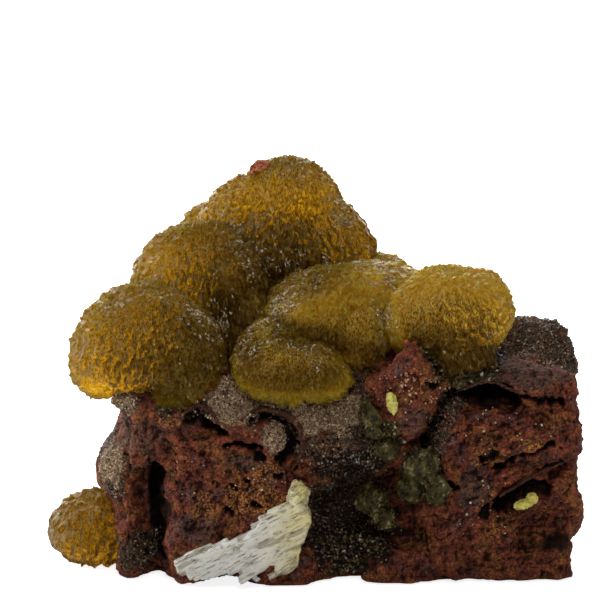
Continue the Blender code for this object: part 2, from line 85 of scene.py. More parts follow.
# Crusts that the upper domes are joined into: members, how strongly the crystal absorbs light, clearness
UPPER_CRUSTS = {
    "peak_crust": (("peak", "pale lobe"), 380.0, 0.85),
    "left_crust": (("lower left", "tongue", "middle left", "left behind", "back left"), 360.0, 0.85),
    "front_crust": (("front low", "upper centre"), 40.0, 0.62),
    "right_crust": (("right", "back right", "back middle", "back edge"), 80.0, 0.64),
}
CORNER_CRYSTAL = (420.0, 0.92)
FINE_DOMES = ("peak", "middle left", "lower left", "front low", "upper centre", "right")
FINE_DETAIL = 6          # fineness of their meshes
PLAIN_DETAIL = 5         # and of the others
DRIFT_RANGE = 50         # how far apart the domes' kinds of unevenness are picked
CRYSTAL_FLOOR = 0.02     # crystal stays above this height
SMOOTHNESS = {"right": 0.6, "upper centre": 0.8, "front low": 0.9}
FIBRE_STRETCH = 1.9      # crystals are this much longer up the dome than across it
FIBRE_GROOVES = (0.05, 0.3, 2.1)     # height, width and length in widths of the grooves down a dome
FIBRE_JITTER = 0.3       # sideways shift of a crystal, per mesh pitch
TIP_SHARE = 0.42         # share of the mesh points that are crystal tips
TIP_HEIGHT = (0.06, 0.18)    # how far tips stand above their roots
TIP_DROOP = 0.07         # how far a tip hangs downhill
ROOT_SCATTER = 0.035     # how unevenly the roots lie
SWELLS = ((0.028, 2.2), (0.014, 6.0))    # uneven growth, as shares of the radius, and its fineness
STROKE_WIDTH = 0.075     # width of the fine strokes down a dome
KNOBS = ((0.10, 0.85), (0.19, 0.34))     # height and length of the knobs on the domes
HEM = 1.6                # knobs are this much higher at a dome's lower edge

# Small crystals that stand on the domes: number per square millimetre, half widths, lean
NEEDLES = (4.0, (0.03, 0.05), 0.3)
NEEDLE_LENGTH = 4.0      # half length of a crystal, in half widths
NEEDLE_SLOPE = (0.75, 0.75)  # how much of a crystal's direction is downhill and outward
# Pale frost of fine crystals, their pale colour a painted glint, along lines on the front: half width of
# its band, points in X and Z
FROST_GLINTS = (55.0, (0.03, 0.065), 0.9)
FROST_GLINT_LENGTH = 0.6 * NEEDLE_LENGTH
FROST_DEPTH = 2.5        # no frost, shade or glow behind this plane
FROST_GLINT_EDGE = 1.5         # half widths at which its band has faded
BARE_DEPTH = 0.97        # crystals stand this far out of every other dome, as a share of its radius
BARE_FLOOR = 0.3         # and above this height
BARE_TOP = 0.05          # so near to the top of a dome they point straight out
BED_DETAIL = 4           # fineness of the shells they stand on
FROST_GLINT_LINES = (
    (0.45, ((2.5, 21.4), (3.0, 19.6), (3.1, 18.0))),
    (0.75, ((-1.5, 23.5), (-0.6, 23.7), (0.4, 23.4))),
    (0.55, ((-11.0, 16.2), (-9.9, 16.8), (-8.8, 17.1), (-7.6, 16.9), (-6.4, 16.2))),
    (0.60, ((-6.4, 16.2), (-5.4, 15.2), (-4.2, 14.2), (-3.5, 13.7))),
    (0.60, ((-3.5, 13.7), (-2.4, 14.6), (-1.5, 15.4), (-0.6, 16.7))),
    (0.35, ((-0.6, 16.9), (1.8, 18.1), (3.5, 18.3), (5.9, 17.8))),
    (0.45, ((5.3, 17.9), (4.8, 16.6), (4.8, 15.5), (5.0, 13.9))),
    (0.50, ((-4.4, 20.8), (-3.4, 19.4), (-2.4, 17.7))),
    (0.28, ((-2.0, 14.3), (-0.6, 14.2), (0.6, 13.7), (1.4, 12.9))),
    (0.18, ((-2.2, 18.9), (0.4, 18.3), (2.4, 18.2))),
)

BAND_EDGE = 1.4          # half widths at which the bands below have faded
# Painted shade and painted glow on the crystal's colour: the first bands darken it, the second lighten
# it; strength, half width of the band, points in X and Z on the front
PAINTED_SHADE_LINES = (
    (0.80, 0.8, ((-1.2, 14.9), (1.4, 14.3), (3.4, 13.7), (5.2, 13.0))),
    (0.85, 1.1, ((7.3, 14.3), (8.6, 14.2), (10.2, 14.4))),
    (1.00, 1.3, ((6.8, 12.7), (8.6, 12.5), (11.2, 12.8))),
    (0.60, 1.8, ((-2.4, 19.2), (-0.4, 18.9), (1.6, 18.9))),
    (0.75, 1.1, ((-2.4, 17.4), (-0.6, 17.4), (1.0, 17.6))),
    (0.90, 0.9, ((-4.6, 16.2), (-3.6, 15.0), (-2.9, 13.6))),
    (0.45, 1.4, ((-10.2, 12.8), (-7.6, 12.6), (-5.6, 12.6))),
    (0.50, 1.2, ((-6.2, 12.6), (-5.0, 11.6), (-4.8, 10.8))),
    (0.40, 1.0, ((-6.4, 17.6), (-4.6, 17.2), (-3.6, 16.6))),
    (0.55, 1.0, ((-6.4, 15.2), (-4.4, 15.0))),
    (0.65, 1.0, ((-2.6, 12.5), (0.0, 12.3), (1.6, 12.4))),
    (0.45, 2.2, ((-14.5, 2.0), (-10.0, 2.0))),
)
# painted glow: bands where the crystal's colour is made lighter and yellower
PAINTED_GLOW_LINES = (
    (0.9, 1.3, ((0.2, 16.4), (2.4, 17.2), (4.6, 16.9))),
    (1.0, 0.6, ((-3.6, 11.7), (-2.2, 11.2), (-0.4, 11.1), (1.4, 11.3), (2.6, 11.9))),
    (0.6, 0.6, ((5.2, 16.6), (5.3, 15.2), (5.5, 13.9))),
    (0.5, 0.5, ((2.4, 13.2), (4.2, 13.0), (5.0, 12.8))),
    (0.5, 1.0, ((-13.4, 12.6), (-12.9, 11.2), (-11.6, 10.9))),
    (0.5, 0.8, ((-13.6, 13.0), (-13.3, 14.6), (-12.2, 16.0))),
    (0.8, 0.8, ((6.6, 17.2), (8.4, 17.8), (10.4, 17.6), (11.8, 16.6))),
    (0.6, 0.6, ((11.8, 16.6), (12.3, 15.2), (12.0, 13.8))),
    (0.7, 0.8, ((-8.4, 10.9), (-7.2, 10.3), (-6.2, 10.9))),
    (0.4, 0.9, ((-9.6, 16.6), (-9.2, 17.6), (-8.2, 18.4))),
)

# Rock: mesh fineness and relief
ROCK_VOXEL = 0.234
FRONT_LIMIT = -4.8       # the front of this plane has a mesh twice as fine
COVERED_DEPTH = 0.9      # except this deep in a dome, as a share of the way to its skin
SOFTENING = 0.3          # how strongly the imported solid's edges are smoothed first
ROCK_BROAD = (0.34, 2.6)     # height and length of each kind of relief
ROCK_STEPS = (0.20, 1.5, 4)  # height, length and number of the terraces
STEP_RISER = (0.35, 0.3)     # where a terrace starts to rise, and over which share of its run
ROCK_MIDDLE = (0.15, 0.55)
ROCK_FINE = (0.11, 0.22)
WOOD_GRAIN = (0.16, 0.22, 1.6)   # height, width and length of the upright ridges of the column
STRIATION = (0.09, 0.20, 1.8)    # height, width and length of the ridges across the right mass
STRIATION_TILT = math.radians(-24)
UPRIGHT = Matrix.Identity(3)
ACROSS = Euler((0.0, -math.radians(90) - STRIATION_TILT, 0.0)).to_matrix()
CRACKS = (0.12, 1.7, 0.04)   # depth, length, width as a share of the noise
PITS = (0.22, 0.36, 0.42)    # depth and spacing of the pores, and their radius as a share of it
RELIEF_DRIFTS = (Vector((5, 2, 7)), Vector((9, 4, 1)), Vector((3, 8, 5)))   # of terraces, middle, cracks
HOLLOW_ROUNDS = (6, 40)      # smoothing rounds that tell fine and broad hollows
HOLLOW_DEPTHS = (0.07, 0.28) # depth of a fully dark hollow of each kind
COARSE_HOLLOWS = 4.0         # how much deeper it is where the mesh is coarse
FLAT_ZONE = 0.5              # no relief this near to the flat underside

# Regions of the rock, as centre and radii
ROCK_REGIONS = {
    "grainy": (
        ((-1.2, -5.4, 10.6), (7.0, 3.2, 1.25)),
        ((2.6, -5.8, 8.6), (2.7, 3.4, 3.4)),
        ((2.4, -5.6, 3.2), (3.0, 3.0, 3.6)),
        ((13.6, 0.3, 11.7), (3.9, 4.2, 3.7)),
        ((8.7, -7.2, 10.6), (0.8, 1.6, 1.0)),
        ((8.1, -7.2, 9.2), (0.75, 1.6, 1.2)),
        ((7.6, -7.4, 7.8), (0.8, 1.6, 1.1)),
        ((-11.3, -5.2, 6.3), (1.2, 2.6, 1.7)),
        ((-9.4, -6.4, 1.8), (1.3, 2.0, 1.2)),
        ((1.2, -7.0, 8.3), (1.6, 1.8, 1.4)),
        ((-1.4, -8.0, 8.9), (0.95, 1.2, 1.0)),
        ((-7.4, 4.6, 8.4), (3.4, 3.0, 2.6)),
        ((3.4, 7.6, 7.8), (5.2, 3.0, 2.6)),
        ((-10.9, -0.4, 6.6), (1.6, 3.0, 1.8)),
        ((-7.9, -7.0, 10.4), (0.6, 1.8, 0.7)),
    ),
    "woody": (
        ((-9.2, -5.4, 8.4), (1.8, 3.2, 2.6)),
    ),
    "striated": (
        ((12.4, -6.4, 7.4), (4.6, 3.4, 5.4)),
    ),
    "beige": (
        ((-3.2, -6.0, 10.6), (3.8, 2.8, 1.4)),
        ((1.2, -6.4, 10.0), (3.6, 2.8, 1.2)),
        ((-1.4, -8.0, 8.9), (0.95, 1.2, 1.0)),
        ((-11.3, -5.2, 6.6), (1.1, 2.6, 1.3)),
        ((-10.2, -5.8, 10.6), (0.9, 2.4, 0.8)),
    ),
    "ochre": (
        ((-5.5, -8.4, 4.9), (0.8, 1.2, 0.9)),
        ((-2.7, -8.4, 5.3), (1.7, 1.4, 1.3)),
        ((-1.7, -8.4, 6.9), (1.0, 1.2, 0.7)),
        ((-7.7, -7.8, 9.8), (0.9, 1.4, 0.4)),
        ((-4.9, -8.4, 9.8), (0.8, 1.0, 0.35)),
        ((10.9, -8.6, 7.3), (0.9, 0.9, 0.4)),
        ((12.1, -8.6, 7.9), (0.9, 0.7, 0.3)),
        ((13.3, -8.6, 8.5), (0.9, 0.7, 0.3)),
        ((8.4, -7.9, 12.3), (0.5, 0.9, 0.7)),
        ((14.5, -0.6, 14.3), (1.0, 1.3, 0.6)),
        ((11.6, -8.2, 3.4), (0.8, 0.8, 0.5)),
        ((-2.0, 8.6, 5.4), (2.2, 1.4, 1.3)),
        ((8.6, 7.8, 7.0), (1.6, 1.4, 0.9)),
    ),
    "pored": (
        ((-2.4, -8.4, 6.0), (2.4, 1.6, 2.1)),
        ((-6.6, -8.4, 6.4), (1.6, 1.4, 2.2)),
        ((13.0, -7.8, 4.0), (2.4, 1.8, 2.4)),
        ((10.2, -8.0, 9.4), (2.0, 1.6, 1.2)),
        ((-3.0, 8.6, 4.6), (3.6, 1.8, 2.6)),
    ),
    "specked": (
        ((-6.6, -8.4, 6.8), (1.7, 1.4, 2.0)),
        ((-3.0, -8.4, 6.4), (2.4, 1.4, 2.2)),
        ((11.6, -8.2, 9.4), (3.4, 1.6, 1.2)),
        ((10.6, -8.2, 4.4), (2.4, 1.6, 2.0)),
    ),
    "dull": (
        ((12.8, -6.8, 12.2), (3.6, 2.6, 0.9)),
        ((14.6, -8.4, 6.6), (1.8, 1.6, 1.4)),
        ((10.2, -8.4, 6.0), (1.0, 1.4, 1.6)),
        ((-5.8, -8.4, 3.6), (1.1, 1.4, 1.0)),
        ((-2.9, -8.4, 7.4), (1.4, 1.4, 0.5)),
        ((6.6, -8.0, 10.0), (1.0, 1.4, 1.0)),
        ((-11.0, -5.0, 9.4), (1.0, 2.4, 1.0)),
    ),
    "dotted": (
        ((6.5, -8.0, 11.5), (2.0, 1.4, 1.6)),
    ),
    "olive": (
        ((8.0, -7.6, 13.5), (0.9, 1.8, 1.1)),
        ((9.2, -6.6, 12.4), (2.6, 2.2, 0.9)),
        ((5.2, -6.8, 8.6), (1.1, 1.8, 1.6)),
        ((3.0, -7.0, 2.4), (1.8, 1.8, 2.0)),
    ),
    # painted shade: near black laid over the recess, the crevices and the rock under the domes
    "shade": (
        ((2.9, -6.4, 3.0), (3.0, 3.0, 3.0)),
        ((-8.4, -6.4, 4.4), (0.7, 2.6, 4.2)),
        ((11.0, -7.2, 11.0), (2.0, 1.6, 0.5)),
        ((15.2, -7.4, 2.4), (1.2, 1.8, 0.6)),
        ((14.0, -8.6, 7.0), (1.6, 1.4, 0.9)),
        ((3.0, -7.2, 7.0), (2.2, 2.6, 1.3)),
        ((10.9, -8.4, 7.8), (0.5, 1.0, 0.22)),
        ((-0.8, 1.6, 15.8), (4.2, 4.2, 5.0)),
        ((-4.6, -0.5, 14.2), (3.7, 3.6, 3.8)),
        ((-7.6, -3.9, 11.0), (3.6, 3.6, 3.4)),
        ((8.9, -3.6, 12.9), (3.2, 3.2, 2.1)),
    ),
}
REGION_EDGE = (0.45, 0.9)    # unevenness and length of a region's outline
REGION_FADE = (1.15, 0.4)    # distance at which a region ends, and over which it fades, in radii
REGION_REACH = 2.0           # its outline is worked out as far as this, in radii
STREWN = ("grainy", "beige", "specked", "dotted", "olive", "shade")
GRAIN_FLOOR = 0.3            # no grains this near to the flat underside
GRAINS_ON_SAND = 0.2         # share of the brown grains that is left where the crust is sandy

# Grains on the rock: region, number per square millimetre, half widths, lean, seed, sides and half length
# in half widths of a crystal or none for a round grain, roughness, colours along their tones
GRAINS = {
    "brown_grains": ("sugared", 26.0, (0.04, 0.11), 0.9, 11, (4, 1.2), 0.35,
                     ((0.0, (0.022, 0.013, 0.008)), (0.5, (0.085, 0.045, 0.024)),
                      (0.85, (0.24, 0.14, 0.075)), (1.0, (0.52, 0.38, 0.22)))),
    "beige_grains": ("beige", 26.0, (0.04, 0.10), 0.9, 17, (4, 1.2), 0.4,
                     ((0.0, (0.10, 0.058, 0.033)), (0.4, (0.42, 0.28, 0.165)),
                      (0.8, (0.70, 0.52, 0.33)), (1.0, (0.92, 0.74, 0.42)))),
    "slab_grains": ("dotted", 5.5, (0.03, 0.11), 0.9, 23, None, 0.35,
                    ((0.0, (0.40, 0.12, 0.05)), (0.5, (0.62, 0.30, 0.12)),
                     (0.9, (0.80, 0.55, 0.28)), (1.0, (0.92, 0.86, 0.66)))),
    "pale_specks": ("specked", 1.4, (0.025, 0.09), 0.9, 29, None, 0.25,
                    ((0.0, (0.50, 0.26, 0.08)), (0.6, (0.72, 0.50, 0.24)), (1.0, (0.92, 0.86, 0.70)))),
    "olive_grains": ("olive", 11.0, (0.05, 0.14), 0.8, 31, (5, 1.6), 0.2,
                     ((0.0, (0.05, 0.035, 0.010)), (0.8, (0.17, 0.13, 0.04)), (1.0, (0.62, 0.58, 0.40)))),
    "recess_glints": ("glinting", 1.3, (0.03, 0.09), 0.9, 37, (4, 2.4), 0.1,
                      ((0.0, (0.10, 0.09, 0.08)), (0.7, (0.40, 0.38, 0.36)), (1.0, (0.90, 0.90, 0.90)))),
}

# Rock added to the solid, as centre, half sizes and turn in degrees: the upper end of the left
# crevice and the spike above the red slab
ADDED_ROCK = (
    ((-8.65, -6.1, 8.7), (1.1, 1.5, 1.9), (-8, 6, 0)),
    ((6.25, -7.9, 13.4), (0.42, 0.6, 1.25), (6, 8, 0)),
)

# Thin curled lips of rock: radius, points
LIPS = (
    (0.11, ((-7.0, -8.4, 10.0), (-6.5, -8.6, 10.35), (-6.0, -8.7, 10.5), (-5.4, -8.7, 10.45),
            (-5.1, -8.6, 10.1), (-4.6, -8.6, 9.6), (-4.0, -8.6, 9.4), (-3.3, -8.6, 9.45))),
    (0.16, ((-3.4, -8.5, 9.9), (-2.6, -8.7, 10.2), (-2.0, -8.8, 10.3), (-0.9, -8.8, 10.1), (-0.1, -8.8, 9.5),
            (0.2, -8.7, 8.7), (0.1, -8.6, 7.7), (-0.5, -8.5, 6.8))),
    (0.09, ((8.9, -8.0, 11.2), (9.6, -8.3, 11.6), (10.3, -8.4, 11.95), (10.9, -8.4, 12.0), (11.6, -8.3, 11.8),
            (12.2, -8.2, 11.5), (13.0, -8.1, 11.4), (15.2, -7.9, 11.1))),
    (0.08, ((10.6, -8.6, 7.1), (11.2, -8.8, 7.4), (12.2, -8.9, 8.0), (12.8, -8.8, 8.4), (13.5, -8.8, 8.7),
            (15.2, -8.6, 9.4))),
    (0.10, ((11.6, -8.1, 5.2), (12.6, -8.3, 5.8), (13.9, -8.3, 6.5), (15.4, -8.1, 7.2))),
)
LIP_TAPER = 0.35             # radius of a lip's ends, per its own
LIP_WIDTHS = (0.7, 1.25)     # least and greatest radius along it, per its own
LIP_ROUGHNESS = (0.07, 0.22) # height and length of its unevenness
LIP_ROOT = 0.6               # how far its back reaches into the rock
LIP_REACH = 0.3              # a lip lies on the foremost rock within this distance
AIM_START = 3.0              # the rock is looked for from this many times as far out

# Slots and holes in the front, seen as paths in X and Z: half width, depth
GOUGES = (
    (0.34, 1.1, ((-6.4, 9.85), (-5.95, 10.0), (-5.5, 9.8))),
    (0.15, 0.6, ((-5.4, 9.5), (-4.8, 9.2), (-4.3, 9.1))),
    (0.24, 1.1, ((-2.8, 9.75), (-2.0, 9.85), (-1.2, 9.65), (-0.65, 9.1))),
    (0.34, 1.3, ((-0.65, 9.1), (-0.4, 8.4), (-0.6, 7.8), (-1.0, 7.5))),
    (0.13, 0.7, ((-4.3, 8.3), (-3.6, 8.4), (-2.9, 8.3), (-2.2, 8.2))),
    (0.24, 0.7, ((-2.45, 7.7), (-2.3, 7.6))),
    (0.13, 0.5, ((-3.9, 6.0), (-3.8, 5.9))),
    (0.10, 0.5, ((-3.1, 6.4), (-3.0, 6.3))),
    (0.16, 0.5, ((-4.2, 4.5), (-4.0, 4.4))),
    (0.30, 1.5, ((-8.3, 6.9), (-8.5, 6.2), (-8.4, 5.2), (-8.5, 4.2), (-8.3, 3.2), (-8.1, 1.4))),
    (0.30, 0.9, ((8.8, 11.4), (8.4, 10.7), (8.1, 9.9), (7.8, 9.2), (7.4, 8.3), (7.2, 7.2))),
    (0.34, 1.3, ((9.4, 11.2), (10.3, 11.35), (11.2, 11.45), (12.2, 11.2))),
    (0.16, 0.7, ((13.0, 11.2), (14.1, 10.9), (15.2, 10.7))),
    (0.34, 1.1, ((11.6, 4.5), (12.2, 4.9), (12.9, 5.4), (13.6, 5.6), (14.2, 5.5))),
    (0.14, 0.5, ((11.4, 7.0), (12.2, 7.4), (13.3, 7.9), (14.6, 8.4))),
    (0.22, 0.7, ((10.6, 7.6), (11.1, 7.7), (11.4, 8.0))),
    (0.10, 0.4, ((-8.8, 7.4), (-8.7, 7.0), (-8.8, 6.4))),
    (0.22, 0.6, ((8.6, 6.0), (8.9, 5.8))),
    (0.12, 0.5, ((-1.3, 6.6), (-1.1, 6.5))),
    (0.14, 0.5, ((-2.6, 4.9), (-2.3, 4.8))),
    (0.24, 0.6, ((10.7, 4.5), (10.8, 4.1))),
    (0.18, 0.6, ((7.4, 12.1), (7.7, 11.9), (7.9, 12.1))),
)
GOUGE_WAVE = (0.20, 0.45)    # unevenness of a gouge's edge
GOUGE_EDGE = 1.6             # half widths at which it ends
GOUGE_REACH = 2.0            # its edge is worked out as far as this, in the widest gouge's half widths
FRONT_FACING = 0.4           # where the normal's Y is greater than this, nothing is cut
SET_BACK = ((0.75, 1.5, ((7.9, 14.4), (8.5, 12.8))),)    # where the front is only set back

# Calcite: leaning blades that stand proud of the solid, between its roof and its straight right edge
BLADE_COUNT = 150
BLADE_LEAN = -27.0           # degrees about Y
BLADE_WOBBLE = (10, 7, 8)    # degrees about X, Y and Z
BLADE_DEPTHS = (-9.0, -8.5)  # Y of their middles
BLADE_HALF = ((0.4, 0.8), (0.12, 0.34), (0.07, 0.20))   # half sizes; the first is a share of the room
BLADE_ROOM = (0.25, 0.9, 1.2)    # half length at the right edge, gain further in, and over which distance
BLADE_MARGIN = (0.2, 0.4)    # how far they stay above the floor, and in all from floor and roof
CALCITE_ROOF = ((-6.6, 2.4), (-4.0, 2.9), (-2.6, 3.7), (-1.7, 5.0), (-0.6, 6.0), (0.3, 6.1))  # X and Z
CALCITE_RIGHT = 0.45         # X of the blades' right ends
CALCITE_EDGE = ((0.5, -0.7), (2.2, -0.3), (4.1, 0.6), (6.2, 0.6))   # Z and X of its right side
CALCITE_SQUEEZE = 0.2        # how much of what lies beyond that side is left
CALCITE_FLOOR = 0.5
CALCITE_VOXEL = 0.085
SILK = (0.07, 0.09, 1.4)    # height, width and length of the silky ridges
CALCITE_SWELL = (0.30, 1.1)  # height and length of its broad unevenness
CALCITE_KNOB = ((-0.15, -8.2, 5.3), (0.66, 0.85, 1.0))  # centre and radii of the crumbly knob
KNOB_FOOT = 4.9              # Z above which the mass is rounded to the knob
KNOB_BLEND = (5.0, 0.8)      # Z from which on it is crumbly, and over which height that grows
KNOB_CRUMB = (3.2, 0.35)     # height of its crumbs, in heights of the silky ridges, and their length
YELLOWING = (-2.6, 0.4, 0.85)    # X where the calcite turns yellow, X where it is yellowest, and how much

# Small pieces: nodes, mesh fineness, height, length and octaves of their unevenness, and the crystals or
# grains strewn on them as number per square millimetre, half widths and lean
GREEN_NODES = ("green_druse_main", "green_druse_upper", "green_druse_low")
GREEN_VOXEL = 0.11
GREEN_RELIEF = (0.16, 0.45, 2)
GREEN_CRYSTALS = (7.0, (0.05, 0.13), 1.1)
YELLOW_NODES = ("yellow_grain_long", "yellow_grain_pair")
YELLOW_BEADS = (60.0, (0.03, 0.09), 0.9)
CHIP_VOXEL = 0.06
CHIP_RELIEF = (0.12, 0.3, 3)

# Light panels: place, width and height, radiance; all are aimed at one point
LIGHTS = {
    "back_panel": ((-50, 320, 140), (500, 250), 4.2),
    "top_panel": ((-60, 60, 340), (300, 240), 2.4),
    "left_panel": ((-340, 60, 110), (260, 200), 4.4),
    "front_panel": ((40, -280, 260), (120, 80), 8.0),
}
LIGHT_AIM = (0, 0, 12)
WORLD_STRENGTH = 0.12
FLOOR_HALF = 3000.0      # half width of the floor
FLOOR_GLOW = 0.85        # lifts the floor to white where the camera sees it

COLOURS = {
    "brick": (0.182, 0.049, 0.024),
    "maroon": (0.120, 0.034, 0.021),
    "plum": (0.135, 0.066, 0.055),
    "rust": (0.200, 0.080, 0.027),
    "ochre": (0.38, 0.18, 0.035),
    # near black for painted shade
    "black": (0.005, 0.0035, 0.003),
    "dull": (0.085, 0.056, 0.048),
}
# Crusts painted over the rock: region, strength, colours along the fine noise
CRUST_COLOURS = (
    ("woody", 0.65, ((0.38, (0.050, 0.024, 0.017)), (0.62, (0.21, 0.115, 0.075)))),
    ("grainy", 1.0, ((0.42, (0.020, 0.012, 0.007)), (0.55, (0.080, 0.047, 0.027)),
                     (0.66, (0.26, 0.15, 0.075)))),
    ("beige", 1.0, ((0.38, (0.085, 0.050, 0.028)), (0.48, (0.26, 0.165, 0.095)),
                    (0.62, (0.56, 0.40, 0.25)))),
    ("olive", 1.0, ((0.40, (0.020, 0.012, 0.004)), (0.60, (0.11, 0.080, 0.025)))),
)


def link(obj):
    bpy.context.scene.collection.objects.link(obj)
    return obj


def raw_object(name, bm):
    """An object of the bmesh, still in millimetres; the bmesh is freed."""
    mesh = bpy.data.meshes.new(name)
    bm.to_mesh(mesh)
    bm.free()
    return link(bpy.data.objects.new(name, mesh))


def evaluated_mesh(obj):
    bpy.context.view_layer.update()
    graph = bpy.context.evaluated_depsgraph_get()
    return bpy.data.meshes.new_from_object(obj.evaluated_get(graph))


def bake_modifiers(obj):
    mesh = evaluated_mesh(obj)
    obj.modifiers.clear()
    obj.data = mesh


def opened(obj):
    """The object's mesh as a bmesh with fresh normals, until put_back."""
    bm = bmesh.new()
    bm.from_mesh(obj.data)
    bm.normal_update()
    return bm


def put_back(bm, obj):
    bm.to_mesh(obj.data)
    bm.free()


def fractal(place, octaves=3):
    return noise.fractal(place, 1.0, 2.0, octaves)


def roughen(obj, height, length, octaves):
    """Make a mesh uneven along its normals."""
    bm = opened(obj)
    for vert in bm.verts:
        vert.co += vert.normal * height * fractal(vert.co / length, octaves)
    put_back(bm, obj)


def paint_crust_light(obj):
    """Store on a crust where its colour gets painted shade and where it gets painted glow."""
    places = mesh_places(obj.data)
    store_shares(obj.data, "painted_shade", line_shares(places, PAINTED_SHADE_LINES, BAND_EDGE))
    store_shares(obj.data, "painted_glow", line_shares(places, PAINTED_GLOW_LINES, BAND_EDGE))
    return obj


def dress(obj, material, slot, *nodes):
    """Finish a piece: metres, its material, the body it rides on and the solids it stands for."""
    obj.data.transform(Matrix.Scale(MM, 4))
    obj.data.materials.clear()
    obj.data.materials.append(material)
    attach(obj, "root")
    if nodes:
        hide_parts(*nodes)
    return obj


def scatter_vector(rng):
    return Vector((rng.uniform(-1, 1), rng.uniform(-1, 1), rng.uniform(-1, 1)))


def line_shares(places, lines, edge):
    """How strongly each place lies in bands along lines on the front."""
    shares = [strength * smooth_step(edge - path_distances(places, points) / width)
              for strength, width, points in lines]
    return numpy.max(shares, axis=0) * (places[:, 1] < FROST_DEPTH)


def store_shares(mesh, name, shares):
    layer = mesh.attributes.new(name, "FLOAT", "POINT")
    layer.data.foreach_set("value", numpy.asarray(shares, dtype=numpy.float32))


def mesh_places(mesh):
    places = numpy.empty(len(mesh.vertices) * 3)
    mesh.vertices.foreach_get("co", places)
    return places.reshape(-1, 3)


def smooth_step(value):
    value = numpy.clip(value, 0.0, 1.0)
    return value * value * (3.0 - 2.0 * value)


def vertex_places(bm):
    return numpy.array([vert.co for vert in bm.verts])


def region_shares(places, blobs):
    """How far each place lies inside the blobs of a region, from 0 to 1, with an uneven outline."""
    height, length = REGION_EDGE
    nearest = numpy.full(len(places), numpy.inf)
    for centre, radii in blobs:
        nearest = numpy.minimum(nearest, numpy.linalg.norm((places - centre) / radii, axis=1))
    for index in numpy.nonzero(nearest < REGION_REACH)[0]:
        nearest[index] += height * fractal(Vector(places[index]) / length)
    end, fade = REGION_FADE
    return smooth_step((end - nearest) / fade)


def path_distances(places, points):
    """Distance in the XZ plane from each place to a path."""
    flat = places[:, [0, 2]]
    nearest = numpy.full(len(places), numpy.inf)
    for start, end in zip(points, points[1:]):
        run = numpy.subtract(end, start)
        share = numpy.clip((flat - start) @ run / (run @ run), 0.0, 1.0)
        nearest = numpy.minimum(nearest, numpy.linalg.norm(flat - start - share[:, None] * run, axis=1))
    return nearest


def dome_drift(name):
    """A shift that gives each dome its own unevenness."""
    return scatter_vector(random.Random(list(DOMES).index(name))) * DRIFT_RANGE


def lobe_reach(start, outs, lobe):
    """How far a lobe's surface lies from a point in each direction; minus infinity where it is missed."""
    centre, radii, depth = lobe
    reach = numpy.full(len(outs), -numpy.inf)
    for height, upper in ((depth, False), (radii[2], True)):
        scale = numpy.array((radii[0], radii[1], height))
        way, offset = outs / scale, (start - numpy.array(centre)) / scale
        a, b, c = (way * way).sum(axis=1), way @ offset, offset @ offset - 1.0
        root = b * b - a * c
        far = numpy.where(root > 0.0, (numpy.sqrt(numpy.maximum(root, 0.0)) - b) / a, -numpy.inf)
        with numpy.errstate(invalid="ignore"):
            above = start[2] + far * outs[:, 2] >= centre[2]
        reach = numpy.where(above == upper, far, reach)
    return reach


def dome_reach(name, outs):
    """How far a dome's skin lies from its centre in each direction, blended over its lobes."""
    start = numpy.array(DOMES[name][0][0])
    reaches = [lobe_reach(start, outs, lobe) for lobe in DOMES[name]]
    return LOBE_BLEND * numpy.log(sum(numpy.exp(reach / LOBE_BLEND) for reach in reaches)) - SKIN_INSET


def dome_depths(places, name):
    """Distance from a dome's centre as a share of its skin's, so that less than 1 is inside."""
    offsets = numpy.array(places) - numpy.array(DOMES[name][0][0])
    lengths = numpy.linalg.norm(offsets, axis=1)
    return lengths / dome_reach(name, offsets / lengths[:, None])


def shape_dome(name, verts, outs):
    """Move vertices to a dome's uneven skin, each in its own direction."""
    centre = Vector(DOMES[name][0][0])
    drift = dome_drift(name)
    for vert, out, reach in zip(verts, outs, dome_reach(name, numpy.array(outs))):
        place = out * reach * (1.0 + sum(share * noise.noise(out * fine + drift) for share, fine in SWELLS))
        knobs = sum(height * noise.noise(place / length + drift) for height, length in KNOBS)
        vert.co = centre + place + out * knobs * (1.0 + HEM * max(0.0, -out.z))


def drusy_dome(name):
    """A dome covered with small crystals that run down its meridians, as a closed mesh."""
    rng = random.Random(name)
    detail = (FINE_DETAIL if name in FINE_DOMES else PLAIN_DETAIL) - 0
    bm = bmesh.new()
    fibre = bm.verts.layers.float_vector.new("fibre")
    bmesh.ops.create_icosphere(bm, subdivisions=detail, radius=1.0)
    pitch = math.sqrt(4.0 * math.pi / len(bm.verts))
    outs = []
    for vert in bm.verts:
        out = vert.co.normalized()
        out.z *= FIBRE_STRETCH
        outs.append((out + scatter_vector(rng) * pitch * FIBRE_JITTER).normalized())
    shape_dome(name, bm.verts, outs)
    drift, radius = dome_drift(name), DOMES[name][0][1][0]
    height, width, length = FIBRE_GROOVES
    calm = SMOOTHNESS.get(name, 1.0)
    for vert, out in zip(bm.verts, outs):
        around = math.atan2(out.y, out.x)
        vert[fibre] = radius * Vector((math.cos(around), math.sin(around), math.acos(out.z) / length))
        rise = height * noise.noise(vert[fibre] / width + drift)
        downhill = out * out.z - Vector((0, 0, 1))
        if rng.random() < TIP_SHARE:
            vert.co += (out * rng.uniform(*TIP_HEIGHT) + downhill * TIP_DROOP) * calm
        vert.co += out * rise + scatter_vector(rng) * ROOT_SCATTER
    return bm


def unite(name, objects):
    """One closed mesh of the objects, which are removed."""
    main = objects[0]
    for obj in objects[1:]:
        union = main.modifiers.new("union", "BOOLEAN")
        union.operation = "UNION"
        union.solver = "MANIFOLD"
        union.object = obj
    bake_modifiers(main)
    for obj in objects[1:]:
        bpy.data.objects.remove(obj)
    main.name = name
    return main


